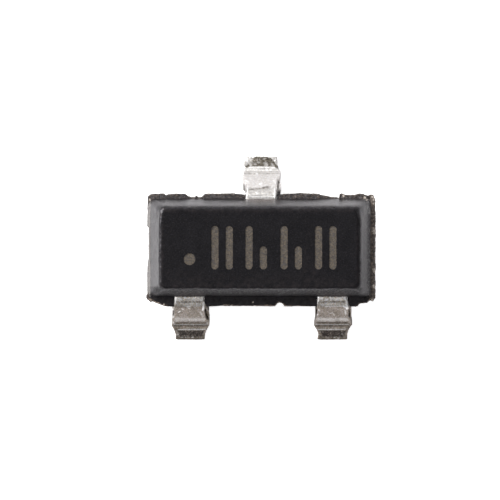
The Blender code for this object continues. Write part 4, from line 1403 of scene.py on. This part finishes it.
def epoxy_material():
    """Black silica-filled epoxy: matt on the marked face and the underside, smoother on the drafted sides, dull
    brown-black with pale filler grains where the flash snapped off."""
    n = Nodes("moulded_epoxy")
    x, y, z = n.axes()
    up = n.math("ABSOLUTE", n.up())
    high = n.math("MAXIMUM", n.span(z, 0.955, 1.000), n.span(z, 0.100, 0.066))
    face = n.math("MULTIPLY", n.span(up, 0.86, 0.99), high)
    rim, dust_and_side_light, pale, worn, dull = (n.read(name) for name in ("rim", "dust_and_side_light", "pale", "worn", "dull"))
    level = n.span(up, 0.80, 0.97)
    blotch = n.noise(0.22, 4.0, 0.62)
    fine = n.noise(0.018, 4.0, 0.65, seed=4.0)
    filler = n.cells(0.018, seed=2.0)
    # marked face
    base = n.mix(n.span(blotch, 0.38, 0.66), (0.0034, 0.0034, 0.0041), (0.0060, 0.0058, 0.0068))
    grit_at = n.noise(0.018, 3.0, 0.7, seed=20.0)
    base = n.mix(n.span(grit_at, 0.56, 0.66), base, (0.0165, 0.0150, 0.0185))
    base = n.mix(n.span(grit_at, 0.45, 0.36), base, (0.0012, 0.0012, 0.0013))
    specks = n.math("MULTIPLY", n.span(filler, 0.26, 0.10), n.span(n.noise(0.06, 2.0, seed=8.0), 0.52, 0.66))
    base = n.mix(n.math("MULTIPLY", specks, 0.45), base, (0.060, 0.050, 0.046))
    strip = n.mix(n.span(n.noise(0.05, 4.0, 0.6, seed=10.0), 0.40, 0.62), (0.0060, 0.0054, 0.0060), (0.0135, 0.0112, 0.0120))
    base = n.mix(n.math("MULTIPLY", worn, n.span(n.noise(0.10, 3.0, seed=11.0), 0.36, 0.56)), base, strip)
    # resin-rich skin on the sides
    skin = n.mix(n.span(n.noise(0.10, 4.0, 0.6, seed=12.0), 0.42, 0.68), (0.0050, 0.0046, 0.0052), (0.0105, 0.0095, 0.0105))
    colour = n.mix(face, skin, base)
    # dust and speckles; the dust share, heavier on the +Y ledge than on -Y, is also painted light and shade on those
    # ledges
    brown_at = n.span(n.noise(0.030, 3.0, 0.6, seed=15.0), 0.40, 0.62)
    brown = n.mix(brown_at, (0.013, 0.012, 0.012), (0.062, 0.050, 0.043))
    ledge = n.math("MULTIPLY", n.span(x, 1.420, 1.445), n.span(z, 0.585, 0.565))
    brown = n.mix(ledge, brown, n.mix(brown_at, (0.058, 0.049, 0.045), (0.185, 0.152, 0.128)))
    strewn = n.math("MAXIMUM", n.span(n.noise(0.022, 3.0, 0.65, seed=16.0), 0.40, 0.56), n.math("MULTIPLY", ledge, 0.8))
    colour = n.mix(n.math("MULTIPLY", dust_and_side_light, strewn), colour, brown)
    # resin bled over the single lead: pale and rusty specks
    ragged = n.math("MULTIPLY", n.math("SUBTRACT", n.noise(0.050, 3.0, 0.6, seed=37.0), 0.5), 0.30)
    bled = n.math("MULTIPLY", n.span(n.math("ADD", n.math("ABSOLUTE", x), ragged), 0.235, 0.160), n.span(n.math("ADD", z, ragged), 0.86, 0.64))
    bled = n.math("MULTIPLY", bled, n.math("MULTIPLY", n.span(y, 0.570, 0.590), n.span(z, 0.570, 0.590)))
    bled = n.math("MULTIPLY", bled, n.span(n.noise(0.014, 2.0, 0.6, seed=33.0), 0.46, 0.58))
    colour = n.mix(n.math("MULTIPLY", bled, 0.62), colour, n.mix(n.span(n.noise(0.020, 2.0, seed=34.0), 0.46, 0.54), (0.170, 0.115, 0.070), (0.190, 0.185, 0.195)))
    # the outermost edge at -X is rubbed pale, and the pale also stands as painted reflection, carrying on the bright -X
    # side
    rubbed_and_reflection = n.math("MULTIPLY", n.span(x, -1.470, -1.488), n.math("MULTIPLY", n.span(z, 0.500, 0.520), n.span(n.math("ABSOLUTE", y), 0.665, 0.640)))
    colour = n.mix(n.math("MULTIPLY", rubbed_and_reflection, n.span(n.noise(0.026, 3.0, 0.6, seed=38.0), 0.32, 0.56, 0.35, 1.0)), colour, (0.140, 0.132, 0.124))
    # grit on the ledges: warm and cold grains
    gritty = n.math("MULTIPLY", n.span(dust_and_side_light, 0.55, 0.75), n.span(n.noise(0.0135, 2.0, 0.6, seed=39.0), 0.55, 0.64))
    colour = n.mix(n.math("MULTIPLY", gritty, 0.60), colour, n.mix(n.span(n.noise(0.020, 2.0, seed=40.0), 0.46, 0.54), (0.150, 0.105, 0.072), (0.120, 0.122, 0.135)))
    # small chips along the foot of the +X side, as pale specks that are painted glints; the painted glint marks join
    # them here
    nick_glints = n.math("MULTIPLY", n.span(x, 1.392, 1.402), n.math("MULTIPLY", n.span(z, 0.725, 0.700), n.span(z, 0.575, 0.600)))
    nick_glints = n.math("MULTIPLY", nick_glints, n.span(n.noise(0.032, 4.0, 0.62, seed=35.0), 0.560, 0.630))
    nick_glints = n.math("MULTIPLY", nick_glints, n.span(n.math("ADD", z, n.math("MULTIPLY", n.math("SUBTRACT", n.noise(0.090, 2.0, 0.5, seed=41.0), 0.5), 0.50)), 0.690, 0.640))
    colour = n.mix(n.math("MAXIMUM", n.math("MULTIPLY", nick_glints, 0.9), n.math("MULTIPLY", n.read("glint"), 0.8)), colour, (0.20, 0.19, 0.19))
    # snapped rim
    torn_at = n.span(n.noise(0.034, 3.0, 0.62, seed=5.0), 0.38, 0.62)
    torn = n.mix(torn_at, (0.012, 0.010, 0.009), (0.068, 0.054, 0.045))
    # paler at the outermost +X edge: painted light that lifts the shade of the rounded-off rim
    torn = n.mix(n.span(x, 1.470, 1.492), torn, n.mix(torn_at, (0.038, 0.030, 0.024), (0.086, 0.067, 0.054)))
    grains = n.math("MULTIPLY", n.span(n.cells(0.017, seed=1.0), 0.36, 0.14), n.span(n.noise(0.035, 2.0, seed=9.0), 0.50, 0.60))
    torn = n.mix(grains, torn, (0.30, 0.25, 0.205))
    ridge = n.math("MULTIPLY", n.span(y, -0.66, -0.69), n.span(z, 0.535, 0.552))
    torn = n.mix(n.math("MULTIPLY", ridge, n.span(n.noise(0.030, 3.0, 0.65, seed=36.0), 0.44, 0.60, 0.0, 0.8)), torn, (0.250, 0.200, 0.160))
    edge = n.span(n.math("ADD", rim, n.math("MULTIPLY", n.math("SUBTRACT", fine, 0.5), 0.9)), 0.30, 0.62)
    edge = n.math("MULTIPLY", edge, n.span(rim, 0.02, 0.15))
    colour = n.mix(edge, colour, torn)
    # pale chips on the rim: chipped filler, and painted glints
    colour = n.mix(pale, colour, n.mix(n.span(fine, 0.35, 0.65), (0.20, 0.165, 0.135), (0.62, 0.56, 0.50)))
    # gloss
    side_rough = n.span(n.noise(0.09, 4.0, 0.6, seed=3.0), 0.30, 0.70, 0.26, 0.36, False)
    face_rough = n.span(n.noise(0.040, 4.0, 0.6, seed=6.0), 0.30, 0.70, 0.40, 0.52, False)
    rough = n.mix(face, side_rough, face_rough)
    matt = n.math("MULTIPLY", dull, n.span(n.noise(0.030, 4.0, 0.65, seed=18.0), 0.34, 0.58, 0.35, 1.0))
    rough = n.mix(matt, rough, (0.60, 0.60, 0.60))
    rough = n.mix(n.math("MAXIMUM", edge, n.math("MULTIPLY", dust_and_side_light, 0.6)), rough, (0.62, 0.62, 0.62))
    # relief: soft on the sides, grainy on the face, torn on the rim
    relief = n.bump(n.noise(0.060, 4.0, 0.55, seed=1.0), 0.0022, strength=0.35)
    grit = n.math("MULTIPLY", fine, n.span(face, 0.0, 1.0, 0.34, 1.0, False))
    relief = n.bump(grit, 0.0015, relief, 0.7)
    broken = n.math("MULTIPLY", n.noise(0.014, 4.0, 0.7, seed=2.0), n.math("MAXIMUM", edge, n.math("MULTIPLY", dust_and_side_light, 0.55)))
    relief = n.bump(broken, 0.0060, relief, 0.9)
    n.shader.inputs["IOR"].default_value = 1.55
    sparkle = n.span(n.noise(0.015, 3.0, 0.7, seed=30.0), 0.32, 0.68, 0.64, 1.38, False)
    tint = n.mix(n.span(n.noise(0.017, 2.0, 0.6, seed=31.0), 0.42, 0.58), (1.0, 0.930, 0.925), (0.925, 0.900, 1.0))
    n.put(tint, n.shader.inputs["Specular Tint"])
    return n.set(Base_Color=colour, Roughness=rough, Specular_IOR_Level=n.math("MULTIPLY", n.math("MULTIPLY", n.span(level, 0.0, 1.0, 0.5, 0.22, False), n.span(face, 0.0, 1.0, 1.0, 0.50, False)), n.math("MULTIPLY", n.span(matt, 0.0, 1.0, 1.0, 0.36, False), sparkle)), Normal=relief)


def mark_material():
    """Epoxy skin burnt back by the laser: the pale filler shows, in rough mottles."""
    n = Nodes("laser_mark")
    fine = n.noise(0.020, 3.0, 0.6, seed=3.0)
    wide = n.noise(0.055, 3.0, 0.6, seed=7.0)
    shade = n.math("ADD", n.math("MULTIPLY", fine, 0.65), n.math("MULTIPLY", wide, 0.35))
    colour = n.steps(shade, (0.36, (0.024, 0.021, 0.021)), (0.50, (0.060, 0.048, 0.035)), (0.66, (0.106, 0.083, 0.061)))
    cold = n.span(n.noise(0.016, 2.0, 0.6, seed=12.0), 0.54, 0.64)
    colour = n.mix(n.math("MULTIPLY", cold, 0.50), colour, (0.042, 0.044, 0.056))
    relief = n.bump(fine, 0.0050, strength=0.8)
    return n.set(Base_Color=colour, Roughness=0.82, Normal=relief)


def tin_material(number):
    """Matt tin over copper. The masks bare, grime, shine and leg (the bent part between shoulder and foot) come with
    the mesh:
    grime holds painted shade and flux, shine painted highlights and burnished tin; the leg of leads 1 and 2 gets a
    darker copy of the tin as painted shade, and lead 3 is darker over its shoulder and a little of the foot.
    """
    n = Nodes(f"tinned_lead_{number}")
    bare, grime_and_shade, leg, shine_and_highlight = (n.read(name) for name in ("bare", "grime_and_shade", "leg", "shine_and_highlight"))
    mottle = n.noise(0.034, 4.0, 0.65, 0.4, seed=number * 3.0)
    fine = n.noise(0.013, 3.0, 0.65, seed=5.0 + number)
    wide = n.noise(0.13, 3.0, 0.6, seed=2.0 + number)
    if number == 3:
        colour = n.mix(n.span(mottle, 0.62, 0.40), (0.73, 0.715, 0.695), (0.60, 0.580, 0.558))
        colour = n.mix(leg, colour, n.mix(n.span(mottle, 0.62, 0.40), (0.51, 0.498, 0.482), (0.39, 0.377, 0.363)))
        colour = n.mix(n.math("MULTIPLY", n.span(fine, 0.58, 0.68), 0.35), colour, (0.85, 0.845, 0.84))
    else:
        colour = n.mix(n.span(mottle, 0.60, 0.42), (0.81, 0.77, 0.725), (0.50, 0.465, 0.425))
        # the leg is a darker, browner copy of the tin: painted shade for legs turned away from the light
        tones = ((0.296, 0.256, 0.216), (0.178, 0.150, 0.121)) if number == 2 else ((0.282, 0.244, 0.205), (0.165, 0.140, 0.113))
        shaded_tin = n.mix(n.span(mottle, 0.58, 0.42), *tones)
        shaded_tin = n.mix(n.span(wide, 0.34, 0.60, 0.30, 0.0), shaded_tin, (0.37, 0.34, 0.31))
        colour = n.mix(leg, colour, shaded_tin)
        colour = n.mix(n.math("MULTIPLY", n.span(fine, 0.57, 0.66), 0.52), colour, (0.90, 0.875, 0.85))
    # warm and cold specks, no larger than the plating's grains
    speck = n.noise(0.0135, 2.0, 0.6, seed=21.0 + number)
    much = 0.35 if number == 3 else 1.0
    colour = n.times(n.math("MULTIPLY", n.span(speck, 0.46, 0.36), much), colour, (0.74, 0.64, 0.51))
    colour = n.times(n.math("MULTIPLY", n.span(speck, 0.54, 0.64), much), colour, (0.98, 1.05, 1.24))
    spots = n.span(n.cells(0.026, seed=4.0 + number), 0.20, 0.08)
    colour = n.mix(n.math("MULTIPLY", spots, 0.22 if number == 3 else 0.50), colour, (0.24, 0.21, 0.185))
    # the darker marks: painted shade in bends and grooves, and flux
    grime_and_shade_share = n.math("MULTIPLY", grime_and_shade, n.span(fine, 0.30, 0.58, 0.62, 1.0, False), True)
    colour = n.mix(grime_and_shade_share, colour, n.mix(n.span(mottle, 0.42, 0.60), (0.070, 0.060, 0.048), (0.150, 0.125, 0.098)))
    # the lighter marks: painted highlights where bends and edges catch the light, and burnished tin
    colour = n.mix(n.math("MULTIPLY", shine_and_highlight, n.span(fine, 0.34, 0.50, 0.6, 1.0)), colour, (0.965, 0.960, 0.955))
    # bared, oxidised copper with smears of tin left on it
    tones = ((0.030, 0.026, 0.020), (0.135, 0.116, 0.088)) if number == 3 else ((0.024, 0.020, 0.019), (0.092, 0.072, 0.060))
    copper = n.mix(n.span(fine, 0.38, 0.66), *tones)
    smear = n.math("MULTIPLY", n.span(n.noise(0.020, 3.0, 0.6, seed=11.0 + number), 0.57, 0.66), 0.60)
    copper = n.mix(smear, copper, (0.36, 0.32, 0.28))
    colour = n.mix(bare, colour, copper)
    rough = n.span(mottle, 0.30, 0.70, *((0.38, 0.52) if number == 3 else (0.30, 0.44)), False)
    rough = n.mix(n.math("MAXIMUM", bare, n.math("MULTIPLY", grime_and_shade_share, 0.8)), rough, (0.62, 0.62, 0.62))
    metal = n.span(bare, 0.0, 1.0, 1.0, 0.55, False)
    relief = n.bump(mottle, 0.0046, strength=0.6)
    relief = n.bump(fine, 0.0032, relief, 0.7)
    return n.set(Base_Color=colour, Roughness=rough, Metallic=metal, Normal=relief)


def gold_material():
    """Drawn gold wire: bright, with fine drawing lines and a softer, annealed bloom."""
    n = Nodes("drawn_gold")
    bloom = n.noise(0.030, 3.0, 0.6, seed=2.0)
    fine = n.noise(0.004, 3.0, 0.6, seed=5.0)
    colour = n.mix(n.span(bloom, 0.36, 0.64), (1.0, 0.745, 0.335), (0.86, 0.590, 0.225))
    rough = n.span(bloom, 0.30, 0.70, 0.20, 0.34, False)
    return n.set(Base_Color=colour, Roughness=rough, Metallic=1.0, Normal=n.bump(fine, 0.0006, strength=0.5))


def adhesive_material():
    """Silver-filled epoxy: grey, with glinting flakes in a duller binder."""
    n = Nodes("silver_adhesive")
    flakes = n.span(n.cells(0.008, seed=3.0), 0.42, 0.14)
    cloud = n.noise(0.050, 4.0, 0.6, seed=4.0)
    binder = n.mix(n.span(cloud, 0.38, 0.64), (0.30, 0.29, 0.28), (0.44, 0.43, 0.41))
    colour = n.mix(n.math("MULTIPLY", flakes, 0.75), binder, (0.74, 0.74, 0.73))
    rough = n.span(flakes, 0.0, 1.0, 0.52, 0.30, False)
    return n.set(Base_Color=colour, Roughness=rough, Metallic=n.span(flakes, 0.0, 1.0, 0.15, 0.85, False), Normal=n.bump(cloud, 0.0015, strength=0.7))


def silicon_material():
    """Silicon: a passivated, faintly iridescent circuit side with aluminium pads and lines, and grey sawn flanks."""
    n = Nodes("passivated_silicon")
    metal = n.read("metal")
    film = n.noise(0.16, 3.0, 0.55, seed=6.0)
    up = n.span(n.up(), 0.30, 0.80)
    glaze = n.mix(n.span(film, 0.36, 0.64), (0.085, 0.070, 0.120), (0.055, 0.095, 0.105))
    glaze = n.mix(n.span(n.noise(0.010, 2.0, seed=7.0), 0.45, 0.60, 0.0, 0.25), glaze, (0.150, 0.150, 0.170))
    flank = n.mix(n.span(n.noise(0.012, 4.0, 0.65, stretch=(1.0, 1.0, 6.0), seed=8.0), 0.38, 0.62), (0.060, 0.062, 0.068), (0.150, 0.153, 0.162))
    pads = n.mix(n.span(n.noise(0.008, 3.0, 0.6, seed=9.0), 0.36, 0.64), (0.80, 0.79, 0.77), (0.64, 0.63, 0.61))
    colour = n.mix(n.span(metal, 0.05, 0.95), n.mix(up, flank, glaze), pads)
    rough = n.mix(up, (0.46, 0.46, 0.46), n.span(film, 0.30, 0.70, 0.12, 0.22, False))
    fine = n.noise(0.006, 3.0, 0.6, seed=10.0)
    return n.set(Base_Color=colour, Roughness=rough, Metallic=n.span(metal, 0.10, 0.90, 0.0, 1.0, False), Normal=n.bump(fine, 0.0005, strength=0.5))


# ================================================================ build the body and the leads
body = finish_body(make_body(), [make_flash()] + [make_lip(n) for n in (1, 2, 3)])
paint_body(body)
data = body.data
data.materials.clear()
for m in (epoxy_material(), mark_material()):
    data.materials.append(m)
for face in data.polygons:
    cx, cy, cz = (c / MM for c in face.center)
    marked = HEIGHT - 0.02 < cz < HEIGHT - 0.0008 and abs(cx - BODY_SHIFT) < TOP_HALF_X - 0.09 and abs(cy) < TOP_HALF_Y - 0.09
    face.material_index = 1 if marked else 0
smooth(body, 35.0)
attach(body, "root")
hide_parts("epoxy_body")

for number in (1, 2, 3):
    lead = make_lead(number)
    lead.data.materials.append(tin_material(number))
    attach(lead, "root")
    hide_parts(f"lead_{number}")

# ================================================================ build what the body encloses
gold = gold_material()
for piece, node, slot, material in (
    (make_glue(), "die_attach", "die_adhesive", adhesive_material()),
    (make_die(), "silicon_die", "silicon", silicon_material()),
    *((make_wire(k), f"bond_wire_{k}", "gold_wire", gold) for k in (1, 2, 3)),
):
    piece.data.materials.append(material)
    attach(piece, "root")
    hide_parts(node)

# ================================================================ stage, light and camera
IMAGE_MM = 500 / 75.2
CENTRE_X = (250.0 - 261.7) / 75.2
CENTRE_Y = (247.9 - 250.0) / 75.2
AWAY = 150.0

view = bpy.data.cameras.new("camera")
view.type = "PERSP"
view.sensor_width = 36.0
view.lens = 36.0 * AWAY / IMAGE_MM
view.clip_start, view.clip_end = 0.02, 2.0
camera = bpy.data.objects.new("camera", view)
bpy.context.scene.collection.objects.link(camera)
camera.location = (CENTRE_X * MM, CENTRE_Y * MM, (LEAD_PLANE + AWAY) * MM)
bpy.context.scene.camera = camera


def plane(name, z, half):
    return mesh_from(name, [(-half, -half, z), (half, -half, z), (half, half, z), (-half, half, z)], [(0, 1, 2, 3)])


def stage_material(name, albedo, glow):
    made = bpy.data.materials.new(name)
    made.use_nodes = True
    shader = made.node_tree.nodes["Principled BSDF"]
    shader.inputs["Base Color"].default_value = (*albedo, 1.0)
    shader.inputs["Roughness"].default_value = 0.9
    shader.inputs["Specular IOR Level"].default_value = 0.0
    shader.inputs["Emission Color"].default_value = (1.0, 1.0, 1.0, 1.0)
    shader.inputs["Emission Strength"].default_value = glow
    return made


# the floor that the camera sees is a lit white table; the one that reflections see is plain pale paper at the same level
table_top = plane("floor_table", -0.0006, 900.0)
table_top.data.materials.append(stage_material("white_table", (0.82, 0.82, 0.82), 0.88))
table_top.visible_diffuse = table_top.visible_glossy = table_top.visible_transmission = table_top.visible_shadow = False
paper = plane("floor_paper", -0.0008, 900.0)
paper.data.materials.append(stage_material("pale_paper", (0.880, 0.868, 0.882), 0.0))
paper.visible_camera = False


def sun(name, strength, spread, azimuth, elevation, colour=(1.0, 1.0, 1.0)):
    """azimuth is where the light comes from, in degrees from +X towards +Y."""
    lamp = bpy.data.lights.new(name, "SUN")
    lamp.energy = strength
    lamp.angle = math.radians(spread)
    lamp.color = colour
    made = bpy.data.objects.new(name, lamp)
    bpy.context.scene.collection.objects.link(made)
    a, e = math.radians(azimuth), math.radians(elevation)
    towards = Vector((math.cos(a) * math.cos(e), math.sin(a) * math.cos(e), math.sin(e)))
    made.rotation_mode = "QUATERNION"
    made.rotation_quaternion = towards.to_track_quat("Z", "Y")
    return made


sun("key", 5.6, 54.0, 143.0, 41.0)
sun("fill", 0.22, 70.0, -75.0, 32.0)

world = bpy.data.worlds.new("studio")
bpy.context.scene.world = world
world.use_nodes = True
tree = world.node_tree
for old in list(tree.nodes):
    tree.nodes.remove(old)
where = tree.nodes.new("ShaderNodeTexCoord")
split = tree.nodes.new("ShaderNodeSeparateXYZ")
tree.links.new(where.outputs["Generated"], split.inputs[0])
glow = tree.nodes.new("ShaderNodeValToRGB")
# how bright the room is from the horizon (0 and below) up to straight overhead (1)
glow.color_ramp.elements.remove(glow.color_ramp.elements[1])
glow.color_ramp.elements[0].position, glow.color_ramp.elements[0].color = 0.0, (0.46, 0.46, 0.46, 1.0)
for at, grey in ((0.60, 0.44), (0.86, 0.24), (1.00, 0.46)):
    glow.color_ramp.elements.new(at).color = (grey, grey, grey, 1.0)
tree.links.new(split.outputs[2], glow.inputs["Fac"])
# the room is brighter on the key's side
towards = tree.nodes.new("ShaderNodeVectorMath")
towards.operation = "DOT_PRODUCT"
towards.inputs[1].default_value = (math.cos(math.radians(130.0)), math.sin(math.radians(130.0)), 0.0)
tree.links.new(where.outputs["Generated"], towards.inputs[0])
share = tree.nodes.new("ShaderNodeMapRange")
tree.links.new(towards.outputs["Value"], share.inputs["Value"])
for key, v in (("From Min", -0.9), ("From Max", 0.9), ("To Min", 0.45), ("To Max", 1.55)):
    share.inputs[key].default_value = v
room = tree.nodes.new("ShaderNodeBackground")
tree.links.new(glow.outputs["Color"], room.inputs["Color"])
tree.links.new(share.outputs["Result"], room.inputs["Strength"])
white = tree.nodes.new("ShaderNodeBackground")
white.inputs["Color"].default_value = (1, 1, 1, 1)
white.inputs["Strength"].default_value = 1.0
ray = tree.nodes.new("ShaderNodeLightPath")
either = tree.nodes.new("ShaderNodeMixShader")
tree.links.new(ray.outputs["Is Camera Ray"], either.inputs[0])
tree.links.new(room.outputs[0], either.inputs[1])
tree.links.new(white.outputs[0], either.inputs[2])
out = tree.nodes.new("ShaderNodeOutputWorld")
tree.links.new(either.outputs[0], out.inputs["Surface"])

look = bpy.context.scene.view_settings
look.view_transform = "Standard"
look.look = "None"
look.exposure = 0.0
look.gamma = 1.0
